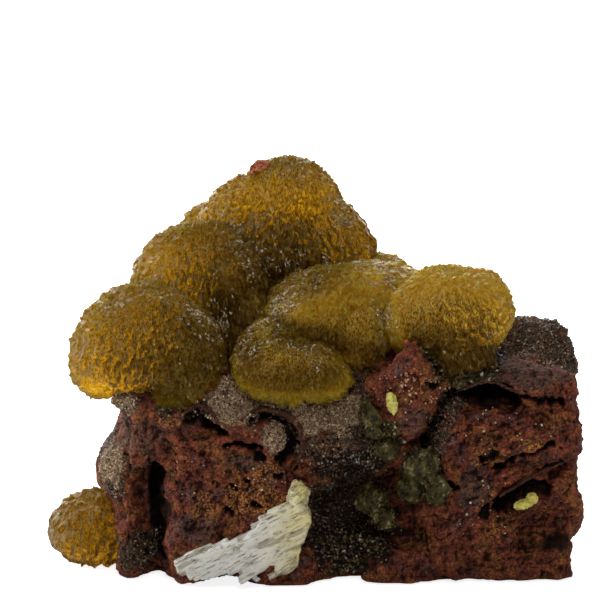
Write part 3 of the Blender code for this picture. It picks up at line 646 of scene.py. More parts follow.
def needle_bed():
    """Thin shells of all domes, with the way crystals point and where they show or bear frost painted pale as
    glints.
    """
    bm = bmesh.new()
    growth = bm.verts.layers.float_vector.new("growth")
    bare = bm.verts.layers.float.new("bare")
    frosted = bm.verts.layers.float.new("frosted")
    downhill, outward = NEEDLE_SLOPE
    for name in DOMES:
        verts = bmesh.ops.create_icosphere(bm, subdivisions=BED_DETAIL, radius=1.0)["verts"]
        outs = [vert.co.normalized() for vert in verts]
        shape_dome(name, verts, outs)
        places = [vert.co for vert in verts]
        nearest = numpy.min([dome_depths(places, other) for other in DOMES if other != name], axis=0)
        for vert, out, depth in zip(verts, outs, nearest):
            down = out * out.z - Vector((0, 0, 1))
            sloping = down.length > BARE_TOP
            vert[growth] = down.normalized() * downhill + out * outward if sloping else out
            vert[bare] = 1.0 if depth > BARE_DEPTH and vert.co.z > BARE_FLOOR else 0.0
    frost_lines = [(1.0, *line) for line in FROST_GLINT_LINES]
    for vert, share in zip(bm.verts, line_shares(vertex_places(bm), frost_lines, FROST_GLINT_EDGE)):
        vert[frosted] = share * vert[bare]
    return raw_object("needle_bed", bm)


def build_domes():
    """The upper domes, grown together into crusts, the dome low on the left, and their crystals."""
    for name, (members, density, clearness) in UPPER_CRUSTS.items():
        domes = [raw_object(member.replace(" ", "_"), drusy_dome(member)) for member in members]
        crust = paint_crust_light(unite(name, domes))
        dress(crust, honey_crystal(name, density, clearness), "austinite_domes", "austinite_domes")
    bm = drusy_dome("corner")
    for vert in bm.verts:
        vert.co.z = max(CRYSTAL_FLOOR, vert.co.z)
    corner = paint_crust_light(raw_object("corner_crust", bm))
    dress(corner, honey_crystal("corner_crust", *CORNER_CRYSTAL), "corner_dome", "corner_dome")
    bed = needle_bed()
    # the paler needles are painted glints
    needles = strew("honey_needles", bed, bipyramid(4, NEEDLE_LENGTH), "bare", *NEEDLES, 41, growth="growth")
    dress(needles, needle_crystal(), "austinite_domes")
    # pale frost crystals whose pale colour is a painted glint
    frost = strew("frost_needles", bed, bipyramid(5, FROST_GLINT_LENGTH), "frosted", *FROST_GLINTS, 53, growth="growth")
    dress(frost, frost_glint_crystal(), "austinite_domes")
    bpy.data.objects.remove(bed)


def append_bmesh(target, source):
    mesh = bpy.data.meshes.new("joined")
    source.to_mesh(mesh)
    source.free()
    target.from_mesh(mesh)
    bpy.data.meshes.remove(mesh)


def packed_copy(node):
    """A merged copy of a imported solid, in millimetres."""
    bm = bmesh.new()
    bm.from_mesh(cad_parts[node].data)
    bmesh.ops.transform(bm, matrix=Matrix.Scale(1.0 / MM, 4), verts=bm.verts[:])
    bmesh.ops.remove_doubles(bm, verts=bm.verts[:], dist=0.001)
    return bm


def seated(points, rock):
    """The points moved in depth onto the foremost rock around each of them."""
    seats = []
    for x, y, z in points:
        aims = [(x, z), (x + LIP_REACH, z), (x - LIP_REACH, z), (x, z + LIP_REACH), (x, z - LIP_REACH)]
        hits = [rock.ray_cast(Vector((aim[0], AIM_START * y, aim[1])), Vector((0, 1, 0))) for aim in aims]
        seats.append((x, min([place.y for found, place, normal, index in hits if found], default=y), z))
    return seats


def curled_lip(points, radius, rng):
    """An uneven ridge along a smooth line through space, thin at its ends, as a closed mesh."""
    curve = bpy.data.curves.new("ridge", "CURVE")
    curve.dimensions = "3D"
    curve.bevel_depth = radius
    curve.bevel_resolution = 3
    curve.use_fill_caps = True
    curve.resolution_u = 10
    spline = curve.splines.new("NURBS")
    spline.points.add(len(points) - 1)
    spline.order_u = 3
    spline.use_endpoint_u = True
    for index, (point, place) in enumerate(zip(spline.points, points)):
        point.co = (*place, 1.0)
        point.radius = LIP_TAPER if index in (0, len(points) - 1) else rng.uniform(*LIP_WIDTHS)
    obj = link(bpy.data.objects.new("ridge", curve))
    bm = bmesh.new()
    bm.from_mesh(evaluated_mesh(obj))
    bmesh.ops.remove_doubles(bm, verts=bm.verts[:], dist=0.001)
    bpy.data.objects.remove(obj)
    bm.normal_update()
    height, length = LIP_ROUGHNESS
    for vert in bm.verts:
        vert.co += vert.normal * height * fractal(vert.co / length)
        vert.co.y += LIP_ROOT * max(0.0, vert.normal.y)
    return bm


def build_lips(rock):
    """Thin curled lips of rock along the hollows in the front."""
    rng = random.Random(5)
    bm = bmesh.new()
    bpy.context.view_layer.update()
    for radius, points in LIPS:
        append_bmesh(bm, curled_lip(seated(points, rock), radius, rng))
    lips = raw_object("curled_lips", bm)
    lips.data.shade_smooth()
    return dress(lips, lip_rock(), "matrix")


def lip_rock():
    """Brown and maroon rock with thin ochre patches."""
    material, tree, shader = principled("lip_rock", Roughness=0.7, Specular_IOR_Level=0.2)
    coords = object_coords(tree)
    colour = ramp(tree, noise_at(tree, coords, 0.5, 4.0, 0.7),
                  (0.42, (0.060, 0.024, 0.018)), (0.52, (0.105, 0.040, 0.026)),
                  (0.60, (0.19, 0.080, 0.035)), (0.68, (0.46, 0.27, 0.07)))
    tones = ramp(tree, noise_at(tree, coords, 0.14, 2.0, 0.7),
                 (0.36, (0.4, 0.4, 0.4)), (0.60, (1.3, 1.3, 1.3)))
    paint(tree, shader, times(tree, colour, tones))
    bump(tree, shader, noise_at(tree, coords, 0.12, 3.0), 0.7, 0.05)
    return material


def fuse_by_voxels(obj, voxel):
    remesh = obj.modifiers.new("fuse", "REMESH")
    remesh.mode = "VOXEL"
    remesh.voxel_size = voxel
    bake_modifiers(obj)


def drawn_noise(place, grain, lying):
    """Ridges drawn out along the Z axis of a turned frame: height, width and length."""
    height, width, length = grain
    flat = lying @ place
    return height * noise.noise(Vector((flat.x / width, flat.y / width, flat.z / length)))


def relief(place, grainy, pored, woody, striated):
    """How far the rock's surface stands out at a place."""
    step_drift, middle_drift, crack_drift = RELIEF_DRIFTS
    out = ROCK_BROAD[0] * fractal(place / ROCK_BROAD[1])
    height, length, steps = ROCK_STEPS
    level = steps * fractal(place / length + step_drift, 2)
    ledge = math.floor(level) + smooth_step((level % 1.0 - STEP_RISER[0]) / STEP_RISER[1])
    out += height * ledge / steps * (1.0 - grainy)
    out += ROCK_MIDDLE[0] * noise.noise(place / ROCK_MIDDLE[1] + middle_drift)
    out += ROCK_FINE[0] * noise.noise(place / ROCK_FINE[1]) * (1.0 + grainy)
    crack = abs(noise.noise(place / CRACKS[1] + crack_drift)) / CRACKS[2]
    out -= CRACKS[0] * max(0.0, 1.0 - crack) * (1.0 - grainy)
    if woody > 0.0:
        out += woody * drawn_noise(place, WOOD_GRAIN, UPRIGHT)
    if striated > 0.0:
        out += striated * drawn_noise(place, STRIATION, ACROSS)
    if pored > 0.0:
        distance = noise.voronoi(place / PITS[1])[0][0]
        out -= PITS[0] * pored * smooth_step(1.0 - distance / PITS[2])
    return out


def hollow_shares(obj):
    """How deep each point lies in a fine or broad hollow: 0.5 on a plane, 1 in a pit, 0 on an edge."""
    mesh = obj.data
    places = mesh_places(mesh)
    normals = numpy.empty(len(places) * 3)
    mesh.vertices.foreach_get("normal", normals)
    ends = numpy.empty(len(mesh.edges) * 2, dtype=numpy.int64)
    mesh.edges.foreach_get("vertices", ends)
    near, far = ends.reshape(-1, 2).T
    counts = numpy.bincount(ends, minlength=len(places))
    depths = numpy.zeros(len(places))
    scale = numpy.where(places[:, 1] < FRONT_LIMIT, 1.0, COARSE_HOLLOWS)
    smooth = places.copy()
    for step in range(max(HOLLOW_ROUNDS)):
        for axis in range(3):
            values = smooth[:, axis]
            sums = numpy.bincount(near, values[far], len(places))
            sums += numpy.bincount(far, values[near], len(places))
            smooth[:, axis] = 0.5 * values + 0.5 * sums / counts
        if step + 1 in HOLLOW_ROUNDS:
            full = HOLLOW_DEPTHS[HOLLOW_ROUNDS.index(step + 1)]
            depths += 0.5 * ((smooth - places) * normals.reshape(-1, 3)).sum(axis=1) / (full * scale)
    return numpy.clip(0.5 + 0.5 * depths, 0.0, 1.0)


def gouge_shares(places, gouges):
    """How deep each place is cut by the slots and holes, and how far it lies inside them."""
    wave, length = GOUGE_WAVE
    reach = max(width for width, depth, points in gouges) * GOUGE_REACH
    distances = [path_distances(places, points) for width, depth, points in gouges]
    nearest = numpy.min(distances, axis=0)
    uneven = numpy.zeros(len(places))
    for index in numpy.nonzero((nearest < reach) & (places[:, 1] < FRONT_LIMIT))[0]:
        uneven[index] = wave * fractal(Vector(places[index]) / length, 2)
    cut = numpy.zeros(len(places))
    inside = numpy.zeros(len(places))
    for (width, depth, points), distance in zip(gouges, distances):
        share = smooth_step(GOUGE_EDGE - (distance + uneven) / width)
        share[places[:, 1] > FRONT_LIMIT] = 0.0
        cut = numpy.maximum(cut, depth * share)
        inside = numpy.maximum(inside, share)
    return cut, inside


def refine_front(bm):
    """Halve the mesh pitch on the front, except where the domes cover it."""
    places = numpy.array([face.calc_center_median() for face in bm.faces])
    covered = numpy.min([dome_depths(places, name) for name in DOMES], axis=0) < COVERED_DEPTH
    edges = set()
    for face, hidden, place in zip(bm.faces, covered, places):
        if place[1] < FRONT_LIMIT and not hidden:
            edges.update(face.edges)
    bmesh.ops.subdivide_edges(bm, edges=list(edges), cuts=1, use_grid_fill=True)


def build_rock():
    """The rusty rock, still in millimetres so that grains can be strewn on it."""
    bm = packed_copy("matrix")
    bmesh.ops.smooth_vert(bm, verts=bm.verts[:], factor=SOFTENING,
                          use_axis_x=True, use_axis_y=True, use_axis_z=True)
    for place in ADDED_ROCK:
        bmesh.ops.create_cube(bm, size=1.0, matrix=block(*place))
    rock = raw_object("rusty_rock", bm)
    fuse_by_voxels(rock, ROCK_VOXEL * (1.0))
    bm = opened(rock)
    refine_front(bm)
    bm.normal_update()
    places = vertex_places(bm)
    shares = {name: region_shares(places, blobs) for name, blobs in ROCK_REGIONS.items()}
    for name in STREWN:
        shares[name] = shares[name] * smooth_step((places[:, 2] - GRAIN_FLOOR) / GRAIN_FLOOR)
    cut, inside = gouge_shares(places, GOUGES)
    cut = numpy.maximum(cut, gouge_shares(places, SET_BACK)[0])
    shares["glinting"] = shares["shade"] * shares["grainy"]
    shares["sugared"] = shares["grainy"] * (1.0 - (1.0 - GRAINS_ON_SAND) * shares["beige"])
    # the insides of the gouges get painted shade too
    shares["shade"] = numpy.maximum(shares["shade"], inside)
    layers = {name: bm.verts.layers.float.new(name) for name in shares}
    moves = []
    for index, vert in enumerate(bm.verts):
        for name, values in shares.items():
            vert[layers[name]] = values[index]
        rise = relief(vert.co, *[shares[name][index] for name in ("grainy", "pored", "woody", "striated")])
        move = vert.normal * rise * smooth_step(vert.co.z / FLAT_ZONE)
        move.y += cut[index] * smooth_step(FRONT_FACING - vert.normal.y)
        moves.append(move)
    for vert, move in zip(bm.verts, moves):
        vert.co += move
        vert.co.z = max(0.0, vert.co.z)
    underside = [face for face in bm.faces if all(vert.co.z == 0.0 for vert in face.verts)]
    bmesh.ops.dissolve_faces(bm, faces=underside)
    put_back(bm, rock)
    rock.data.shade_smooth()
    store_shares(rock.data, "hollow", hollow_shares(rock))
    return rock


def add_node(tree, kind, inputs=(), **settings):
    """A new node with its settings; inputs maps sockets to values or to other nodes' outputs."""
    node = tree.nodes.new(kind)
    for name, value in settings.items():
        setattr(node, name, value)
    for key, value in dict(inputs).items():
        if isinstance(value, bpy.types.NodeSocket):
            tree.links.new(value, node.inputs[key])
        else:
            node.inputs[key].default_value = value
    return node


def bipyramid(sides, length):
    """A small crystal with two points, to be strewn: half width 1."""
    bm = bmesh.new()
    bmesh.ops.create_uvsphere(bm, u_segments=sides, v_segments=2, radius=1.0,
                              matrix=Matrix.Diagonal((1.0, 1.0, length, 1.0)))
    return raw_object("crystal", bm)


def pebble():
    """A small rounded grain, to be strewn."""
    bm = bmesh.new()
    bmesh.ops.create_icosphere(bm, subdivisions=1, radius=1.0)
    return raw_object("pebble", bm)


def stored(tree, name, kind):
    """An attribute of the carrier that crystals are strewn on."""
    node = add_node(tree, "GeometryNodeInputNamedAttribute", {"Name": name}, data_type=kind)
    return node.outputs["Attribute"]


def random_vectors(tree, least, most, seed):
    return add_node(tree, "FunctionNodeRandomValue", {0: least, 1: most, "Seed": seed},
                    data_type="FLOAT_VECTOR").outputs[0]


def strew(name, carrier, shape, mask, per_mm2, sizes, lean, seed, growth=None, keep=False):
    """A joined mesh of copies of a shape, strewn over a carrier where its mask attribute is set."""
    tree = bpy.data.node_groups.new(name, "GeometryNodeTree")
    tree.interface.new_socket("Geometry", in_out="INPUT", socket_type="NodeSocketGeometry")
    tree.interface.new_socket("Geometry", in_out="OUTPUT", socket_type="NodeSocketGeometry")
    source = add_node(tree, "NodeGroupInput")
    density = scaled(tree, stored(tree, mask, "FLOAT"), per_mm2) if mask else per_mm2
    points = add_node(tree, "GeometryNodeDistributePointsOnFaces",
                      {"Mesh": source.outputs[0], "Density": density, "Seed": seed})
    facing = points.outputs["Rotation"]
    if growth:
        facing = add_node(tree, "FunctionNodeAlignRotationToVector",
                          {"Vector": stored(tree, growth, "FLOAT_VECTOR")}, axis="Z").outputs[0]
    turn = random_vectors(tree, (-lean, -lean, -math.pi), (lean, lean, math.pi), seed + 1)
    spin = add_node(tree, "FunctionNodeRotateRotation", {"Rotation": facing, "Rotate By": turn},
                    rotation_space="LOCAL")
    size = random_vectors(tree, (sizes[0],) * 3, (sizes[1],) * 3, seed + 2)
    info = add_node(tree, "GeometryNodeObjectInfo", {"Object": shape})
    copies = add_node(tree, "GeometryNodeInstanceOnPoints",
                      {"Points": points.outputs["Points"], "Instance": info.outputs["Geometry"],
                       "Rotation": spin.outputs[0], "Scale": size})
    tone = add_node(tree, "FunctionNodeRandomValue", {2: 0.0, 3: 1.0, "Seed": seed + 3}, data_type="FLOAT")
    marked = add_node(tree, "GeometryNodeStoreNamedAttribute",
                      {"Geometry": copies.outputs[0], "Name": "tone", "Value": tone.outputs[1]},
                      data_type="FLOAT", domain="INSTANCE")
    joined = add_node(tree, "GeometryNodeRealizeInstances", {"Geometry": marked.outputs[0]})
    if keep:
        both = add_node(tree, "GeometryNodeJoinGeometry")
        tree.links.new(source.outputs[0], both.inputs[0])
        tree.links.new(joined.outputs[0], both.inputs[0])
        joined = both
    add_node(tree, "NodeGroupOutput", {0: joined.outputs[0]})
    base = link(bpy.data.objects.new(name, carrier.data.copy()))
    modifier = base.modifiers.new("strew", "NODES")
    modifier.node_group = tree
    bake_modifiers(base)
    bpy.data.objects.remove(shape)
    return base


def principled(name, **sockets):
    """A material whose Principled BSDF has these values; underscores stand for spaces."""
    material = bpy.data.materials.new(name)
    material.use_nodes = True
    shader = material.node_tree.nodes["Principled BSDF"]
    for key, value in sockets.items():
        shader.inputs[key.replace("_", " ")].default_value = value
    return material, material.node_tree, shader


def rgba(colour):
    return (*colour, 1.0)


def object_coords(tree):
    return add_node(tree, "ShaderNodeTexCoord").outputs["Object"]


def noise_at(tree, coords, size, detail=3.0, roughness=0.6):
    """Noise whose features are about this many millimetres long."""
    return add_node(tree, "ShaderNodeTexNoise",
                    {"Vector": coords, "Scale": 1.0 / (size * MM), "Detail": detail,
                     "Roughness": roughness}).outputs["Fac"]


def ramp(tree, value, *stops):
    """Colours blended along a value: each stop is a position and a colour."""
    node = add_node(tree, "ShaderNodeValToRGB", {"Fac": value})
    elements = node.color_ramp.elements
    while len(elements) < len(stops):
        elements.new(0.5)
    for element, (position, colour) in zip(elements, stops):
        element.position = position
        element.color = rgba(colour)
    return node.outputs["Color"]


def mix(tree, share, first, second, blend="MIX"):
    node = add_node(tree, "ShaderNodeMix", data_type="RGBA", blend_type=blend)
    for socket, value in zip((node.inputs[0], node.inputs[6], node.inputs[7]), (share, first, second)):
        if isinstance(value, bpy.types.NodeSocket):
            tree.links.new(value, socket)
        else:
            socket.default_value = value
    return node.outputs[2]


def times(tree, first, second):
    return mix(tree, 1.0, first, second, "MULTIPLY")


def drawn_out(tree, coords, tilt, length):
    """Coordinates tilted about Y in which noise makes streaks this many times as long as wide."""
    return add_node(tree, "ShaderNodeMapping",
                    {"Vector": coords, "Rotation": (0, tilt, 0), "Scale": (length, 1.0, 1.0)},
                    vector_type="TEXTURE").outputs[0]


def scaled(tree, value, factor):
    return add_node(tree, "ShaderNodeMath", {0: value, 1: factor}, operation="MULTIPLY").outputs[0]


def attribute(tree, name):
    return add_node(tree, "ShaderNodeAttribute", attribute_name=name).outputs["Fac"]


def laid_over(tree, region, strength, colour, other):
    """A colour with another laid over it where a region's attribute is set."""
    share = attribute(tree, region)
    return mix(tree, share if strength == 1.0 else scaled(tree, share, strength), colour, other)


def paint(tree, shader, colour):
    tree.links.new(colour, shader.inputs["Base Color"])


def toned(name, tones, **sockets):
    """Small crystals or grains, each with a colour along its own tone."""
    material, tree, shader = principled(name, **sockets)
    paint(tree, shader, ramp(tree, attribute(tree, "tone"), *tones))
    return material


def bump(tree, shader, height, strength, distance):
    """Fine relief from a height, with the distance in millimetres."""
    node = add_node(tree, "ShaderNodeBump",
                    {"Height": height, "Strength": strength, "Distance": distance * MM})
    tree.links.new(node.outputs[0], shader.inputs["Normal"])


def honey_crystal(name, density, clearness):
    """Translucent honey-gold crystal with painted shade and painted glow: see-through, with some light
    scattered back from inside.
    """
    material, tree, shader = principled(
        name, Roughness=0.28, IOR=1.6, Transmission_Weight=clearness, Specular_Tint=(1.0, 0.66, 0.16, 1),
        Specular_IOR_Level=0.3, Subsurface_Weight=1.0, Subsurface_Radius=(1.0, 0.6, 0.15),
        Subsurface_Scale=0.0014)
    fibre = add_node(tree, "ShaderNodeAttribute", attribute_name="fibre").outputs["Vector"]
    strokes = add_node(tree, "ShaderNodeTexNoise",
                       {"Vector": fibre, "Scale": 1.0 / STROKE_WIDTH, "Detail": 2.0}).outputs["Fac"]
    colour = ramp(tree, strokes, (0.38, (0.16, 0.052, 0.001)), (0.50, (0.74, 0.37, 0.012)),
                  (0.61, (1.0, 0.72, 0.13)))
    # painted glow: a lighter colour laid over the crystal where it glows
    bright = ramp(tree, strokes, (0.38, (0.95, 0.41, 0.006)), (0.60, (1.0, 0.71, 0.06)))
    colour = laid_over(tree, "painted_glow", 1.0, colour, bright)
    # painted shade: the crystal's colour darkened where it lies in shade
    colour = mix(tree, attribute(tree, "painted_shade"), colour, (0.24, 0.18, 0.14, 1), "MULTIPLY")
    paint(tree, shader, colour)
    bump(tree, shader, strokes, 1.0, 0.06)
    volume = add_node(tree, "ShaderNodeVolumeAbsorption",
                      {"Color": (0.86, 0.775, 0.04, 1), "Density": density})
    tree.links.new(volume.outputs[0], tree.nodes["Material Output"].inputs["Volume"])
    return material


def needle_crystal():
    """Clear golden crystals that stand on the domes, the paler ones painted glints."""
    return toned("honey_needles", ((0.0, (0.42, 0.24, 0.03)), (0.75, (0.62, 0.42, 0.10)),
                                   (1.0, (0.90, 0.82, 0.62))),
                 Roughness=0.15, IOR=1.6, Transmission_Weight=0.15, Specular_Tint=(1.0, 0.8, 0.45, 1))


def frost_glint_crystal():
    """Pale crystals on the shoulders of the domes, their pale colour a painted glint."""
    return toned("frost_glint_crystal", ((0.0, (0.22, 0.15, 0.06)), (0.5, (0.48, 0.37, 0.22)),
                                   (1.0, (0.95, 0.88, 0.70))),
                 Roughness=0.2, IOR=1.6, Specular_Tint=(1.0, 0.85, 0.6, 1))


def rusty_rock():
    """Iron-oxide rock: brick red and maroon with ochre patches and brown grainy crusts, with painted shade in
    its hollows, shade regions and gouges, and lighter edges.
    """
    material, tree, shader = principled("rusty_rock", Roughness=0.75, Specular_IOR_Level=0.15)
    coords = object_coords(tree)
    fine = noise_at(tree, coords, 0.13, 2.0, 0.7)
    colour = ramp(tree, noise_at(tree, coords, 1.5, 5.0, 0.65),
                  (0.34, COLOURS["plum"]), (0.43, COLOURS["maroon"]), (0.51, COLOURS["brick"]),
                  (0.60, COLOURS["rust"]), (0.68, COLOURS["maroon"]))
    streaks = ramp(tree, noise_at(tree, drawn_out(tree, coords, STRIATION_TILT, 7.0), 0.35, 4.0, 0.7),
                   (0.34, (0.35, 0.30, 0.32)), (0.50, (0.95, 0.95, 0.95)), (0.64, (1.5, 1.4, 1.3)))
    colour = laid_over(tree, "striated", 1.0, colour, times(tree, colour, streaks))
    middle = ramp(tree, noise_at(tree, coords, 0.42, 4.0, 0.7),
                  (0.32, (0.34, 0.30, 0.30)), (0.46, (0.95, 0.95, 0.95)), (0.64, (1.45, 1.4, 1.35)))
    colour = laid_over(tree, "dull", 0.6, times(tree, colour, middle), rgba(COLOURS["dull"]))
    ochre = ramp(tree, fine, (0.42, COLOURS["maroon"]), (0.52, COLOURS["rust"]), (0.58, COLOURS["ochre"]))
    colour = laid_over(tree, "ochre", 0.6, colour, ochre)
    tones = ramp(tree, fine, (0.34, (0.35, 0.33, 0.33)), (0.5, (0.95, 0.95, 0.95)), (0.64, (1.7, 1.6, 1.5)))
    colour = times(tree, colour, tones)
    for region, strength, stops in CRUST_COLOURS:
        colour = laid_over(tree, region, strength, colour, ramp(tree, fine, *stops))
    # painted shade in the hollows and lighter edges, weaker on the beige crust
    depth = ramp(tree, attribute(tree, "hollow"), (0.22, (1.3, 1.27, 1.25)), (0.48, (1.0, 1.0, 1.0)),
                 (0.72, (0.16, 0.13, 0.12)))
    hollow_shade_share = add_node(tree, "ShaderNodeMath", {0: attribute(tree, "beige"), 1: -0.9, 2: 1.0},
                      operation="MULTIPLY_ADD").outputs[0]
    colour = mix(tree, hollow_shade_share, colour, depth, "MULTIPLY")
    # painted shade: near black laid over the shade regions and the insides of the gouges
    colour = laid_over(tree, "shade", 0.9, colour, rgba(COLOURS["black"]))
    paint(tree, shader, colour)
    bump(tree, shader, noise_at(tree, coords, 0.11, 4.0, 0.7), 0.9, 0.07)
    return material


def build_grains(rock):
    """Sugary grains, pale dots, specks and glassy crystals on the rock."""
    for name, (region, per_mm2, sizes, lean, seed, crystal, roughness, tones) in GRAINS.items():
        material = toned(name, tones, Roughness=roughness)
        shape = bipyramid(*crystal) if crystal else pebble()
        dress(strew(name, rock, shape, region, per_mm2, sizes, lean, seed), material, "matrix")


def block(centre, half, turn):
    """The matrix that makes a unit cube a block of these half sizes, turned in degrees."""
    turned = Euler([math.radians(angle) for angle in turn]).to_matrix().to_4x4()
    return Matrix.Translation(centre) @ turned @ Matrix.Diagonal((*[2.0 * size for size in half], 1.0))


def build_calcite():
    """Silky calcite: the solid with many thin leaning blades, drawn out into fine ridges."""
    rng = random.Random(7)
    bm = packed_copy("calcite")
    roof_x, roof_z = zip(*CALCITE_ROOF)
    edge_z, edge_x = zip(*CALCITE_EDGE)
    above, margin = BLADE_MARGIN
    least, gain, run = BLADE_ROOM
    for index in range(BLADE_COUNT):
        x = rng.uniform(roof_x[0], CALCITE_RIGHT)
        rise = numpy.interp(x, roof_x, roof_z) - margin - CALCITE_FLOOR
        centre = (x, rng.uniform(*BLADE_DEPTHS), CALCITE_FLOOR + above + rise * math.sqrt(rng.random()))
        half = [rng.uniform(*span) for span in BLADE_HALF]
        half[0] *= least + gain * min(1.0, (CALCITE_RIGHT - x) / run)
        turn = [rng.uniform(-wobble, wobble) for wobble in BLADE_WOBBLE]
        turn[1] += BLADE_LEAN
        bmesh.ops.create_cube(bm, size=1.0, matrix=block(centre, half, turn))
    calcite = raw_object("silky_calcite", bm)
    fuse_by_voxels(calcite, CALCITE_VOXEL)
    bm = opened(calcite)
    height, width, length = SILK
    lying = Euler((0.0, -math.radians(BLADE_LEAN), 0.0)).to_matrix()
    middle = Vector(CALCITE_KNOB[0])
    for vert in bm.verts:
        flat = lying @ vert.co
        drawn = Vector((flat.x / length, flat.y / width, flat.z / width))
        knob = smooth_step((vert.co.z - KNOB_BLEND[0]) / KNOB_BLEND[1])
        side = numpy.interp(vert.co.z, edge_z, edge_x)
        vert.co.x = min(vert.co.x, side + CALCITE_SQUEEZE * (vert.co.x - side))
        if vert.co.z > KNOB_FOOT:
            offset = vert.co - middle
            reach = Vector([away / radius for away, radius in zip(offset, CALCITE_KNOB[1])]).length
            vert.co = middle + offset * min(1.0, 1.0 / reach)
        crumbs = KNOB_CRUMB[0] * fractal(vert.co / KNOB_CRUMB[1])
        silk = noise.noise(drawn) * (1.0 - knob) + crumbs * knob
        swell = CALCITE_SWELL[0] * noise.noise(vert.co / CALCITE_SWELL[1])
        vert.co += vert.normal * (height * silk + swell * max(0.0, -vert.normal.y))
        vert.co.z = max(CRYSTAL_FLOOR, vert.co.z)
    put_back(bm, calcite)
    calcite.data.shade_smooth()
    return dress(calcite, silky_calcite(), "calcite", "calcite")


def silky_calcite():
    """White silky calcite with grey streaks, yellower on the right and at the knob."""
    material, tree, shader = principled("silky_calcite", Roughness=0.2, Subsurface_Weight=0.5,
                                        Subsurface_Radius=(1.0, 0.9, 0.6), Subsurface_Scale=0.0004)
    coords = object_coords(tree)
    drawn = drawn_out(tree, coords, math.radians(BLADE_LEAN), 8.0)
    streak = noise_at(tree, drawn, 0.13, 3.0, 0.7)
    colour = ramp(tree, streak, (0.36, (0.36, 0.31, 0.25)), (0.43, (0.90, 0.84, 0.73)),
                  (0.49, (1.0, 0.97, 0.88)))
    broad = ramp(tree, noise_at(tree, drawn, 0.3, 2.0), (0.40, (0.58, 0.55, 0.51)), (0.47, (1.0, 1.0, 1.0)))
    colour = times(tree, colour, broad)
    split = add_node(tree, "ShaderNodeSeparateXYZ", {0: coords})
    start, full, most = YELLOWING
    right = add_node(tree, "ShaderNodeMapRange",
                     {0: split.outputs[0], 1: start * MM, 2: full * MM, 3: 0.0, 4: most})
    patch = noise_at(tree, coords, 1.3, 2.0)
    yellow = add_node(tree, "ShaderNodeMath", {0: right.outputs[0], 1: scaled(tree, patch, 1.6)},
                      operation="MULTIPLY", use_clamp=True)
    colour = mix(tree, yellow.outputs[0], colour, times(tree, colour, (0.93, 0.80, 0.26, 1)))
    paint(tree, shader, colour)
    bump(tree, shader, streak, 0.4, 0.05)
    return material


def rough_lump(name, node, voxel, unevenness):
    """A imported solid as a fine, uneven mesh."""
    lump = raw_object(name, packed_copy(node))
    fuse_by_voxels(lump, voxel)
    roughen(lump, *unevenness)
    return lump


def build_green_druse():
    """Olive druse: each solid roughened and set with short glassy crystals."""
    druse = green_crystal()
    for index, node in enumerate(GREEN_NODES):
        lump = rough_lump("lump", node, GREEN_VOXEL, GREEN_RELIEF)
        piece = strew(node + "_crystals", lump, bipyramid(6, 2.2), None, *GREEN_CRYSTALS, 61 + index,
                      keep=True)
        bpy.data.objects.remove(lump)
        dress(piece, druse, node, node)


def green_crystal():
    """Grey-green glassy crystal with pale glints painted into its colour."""
    material, tree, shader = principled("green_crystal", Roughness=0.25, IOR=1.55, Transmission_Weight=0.3,
                                        Specular_IOR_Level=0.2, Specular_Tint=(1.0, 0.9, 0.6, 1))
    coords = object_coords(tree)
    upright = add_node(tree, "ShaderNodeMapping", {"Vector": coords, "Scale": (1.0, 1.0, 0.6)}).outputs[0]
    # the palest stop paints glints into the colour
    colour = ramp(tree, noise_at(tree, upright, 0.45, 3.0, 0.6), (0.36, (0.014, 0.010, 0.003)),
                  (0.50, (0.070, 0.054, 0.014)), (0.61, (0.16, 0.130, 0.040)), (0.70, (0.52, 0.46, 0.28)))
    paint(tree, shader, colour)
    return material


def build_yellow_grains():
    """Yellow grains: each solid set all over with tiny round grains."""
    material, tree, shader = principled("yellow_grains", Roughness=0.45, Subsurface_Weight=0.3,
                                        Subsurface_Scale=0.0002)
    colour = ramp(tree, noise_at(tree, object_coords(tree), 0.25), (0.35, (0.58, 0.42, 0.06)),
                  (0.60, (1.0, 0.86, 0.22)))
    paint(tree, shader, colour)
    for index, node in enumerate(YELLOW_NODES):
        core = raw_object("core", packed_copy(node))
        piece = strew(node + "_cluster", core, pebble(), None, *YELLOW_BEADS, 71 + index, keep=True)
        bpy.data.objects.remove(core)
        dress(piece, material, node, node)


def build_red_chip():
    """The brick-red flake on the tallest dome."""
    chip = rough_lump("brick_red_chip", "red_chip", CHIP_VOXEL, CHIP_RELIEF)
    material, tree, shader = principled("brick_red_chip", Roughness=0.7, Specular_IOR_Level=0.2)
    colour = ramp(tree, noise_at(tree, object_coords(tree), 0.3), (0.38, (0.10, 0.026, 0.010)),
                  (0.50, (0.34, 0.080, 0.024)), (0.62, (0.52, 0.22, 0.09)))
    paint(tree, shader, colour)
    dress(chip, material, "red_chip", "red_chip")


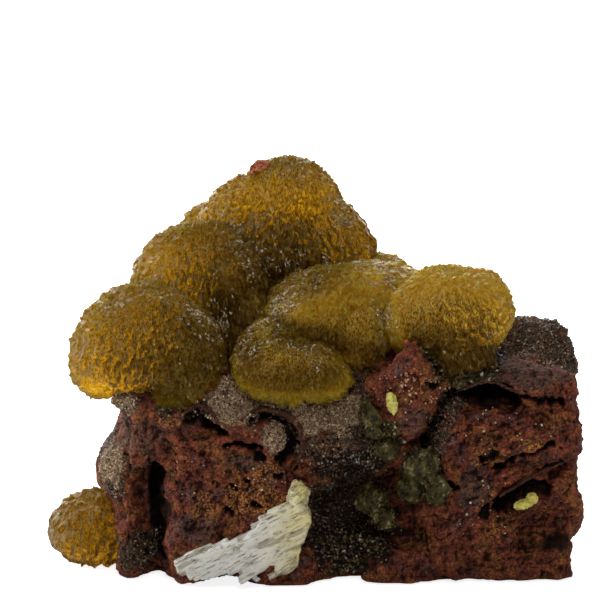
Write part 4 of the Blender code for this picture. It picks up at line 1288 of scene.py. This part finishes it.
def area_light(name, place, size, radiance):
    """A soft light panel aimed at the specimen; it isn't seen itself."""
    lamp = bpy.data.lights.new(name, "AREA")
    lamp.shape = "RECTANGLE"
    lamp.size, lamp.size_y = size[0] * MM, size[1] * MM
    lamp.energy = radiance * math.pi * lamp.size * lamp.size_y
    panel = link(bpy.data.objects.new(name, lamp))
    panel.location = Vector(place) * MM
    panel.rotation_euler = (Vector(LIGHT_AIM) - Vector(place)).to_track_quat("-Z", "Y").to_euler()
    panel.visible_camera = False


def build_studio():
    """A white floor, the light panels and an evenly lit world."""
    bm = bmesh.new()
    bmesh.ops.create_grid(bm, x_segments=1, y_segments=1, size=FLOOR_HALF)
    floor = raw_object("floor", bm)
    floor.data.transform(Matrix.Scale(MM, 4))
    material, tree, shader = principled("pale_floor", Base_Color=(0.85, 0.85, 0.85, 1), Roughness=0.9,
                                        Emission_Color=(1, 1, 1, 1))
    seen = add_node(tree, "ShaderNodeLightPath").outputs["Is Camera Ray"]
    tree.links.new(scaled(tree, seen, FLOOR_GLOW), shader.inputs["Emission Strength"])
    floor.data.materials.append(material)
    for name, panel in LIGHTS.items():
        area_light(name, *panel)
    world = bpy.data.worlds.new("studio")
    world.use_nodes = True
    background = world.node_tree.nodes["Background"]
    background.inputs["Color"].default_value = (1, 1, 1, 1)
    background.inputs["Strength"].default_value = WORLD_STRENGTH
    bpy.context.scene.world = world
    bpy.context.scene.view_settings.view_transform = "Standard"


def build_camera():
    lens = bpy.data.cameras.new("camera")
    lens.lens = CAMERA_LENS
    lens.sensor_width = 36.0
    lens.clip_start = 0.01
    camera = link(bpy.data.objects.new("camera", lens))
    camera.location = (0.0, -CAMERA_DISTANCE * math.cos(CAMERA_TILT) * MM,
                       (CAMERA_TARGET + CAMERA_DISTANCE * math.sin(CAMERA_TILT)) * MM)
    camera.rotation_euler = (math.pi / 2 - CAMERA_TILT, 0.0, 0.0)
    bpy.context.scene.camera = camera


build_domes()
rock = build_rock()
build_grains(rock)
build_lips(rock)
dress(rock, rusty_rock(), "matrix", "matrix")
build_calcite()
build_green_druse()
build_yellow_grains()
build_red_chip()
build_studio()
build_camera()
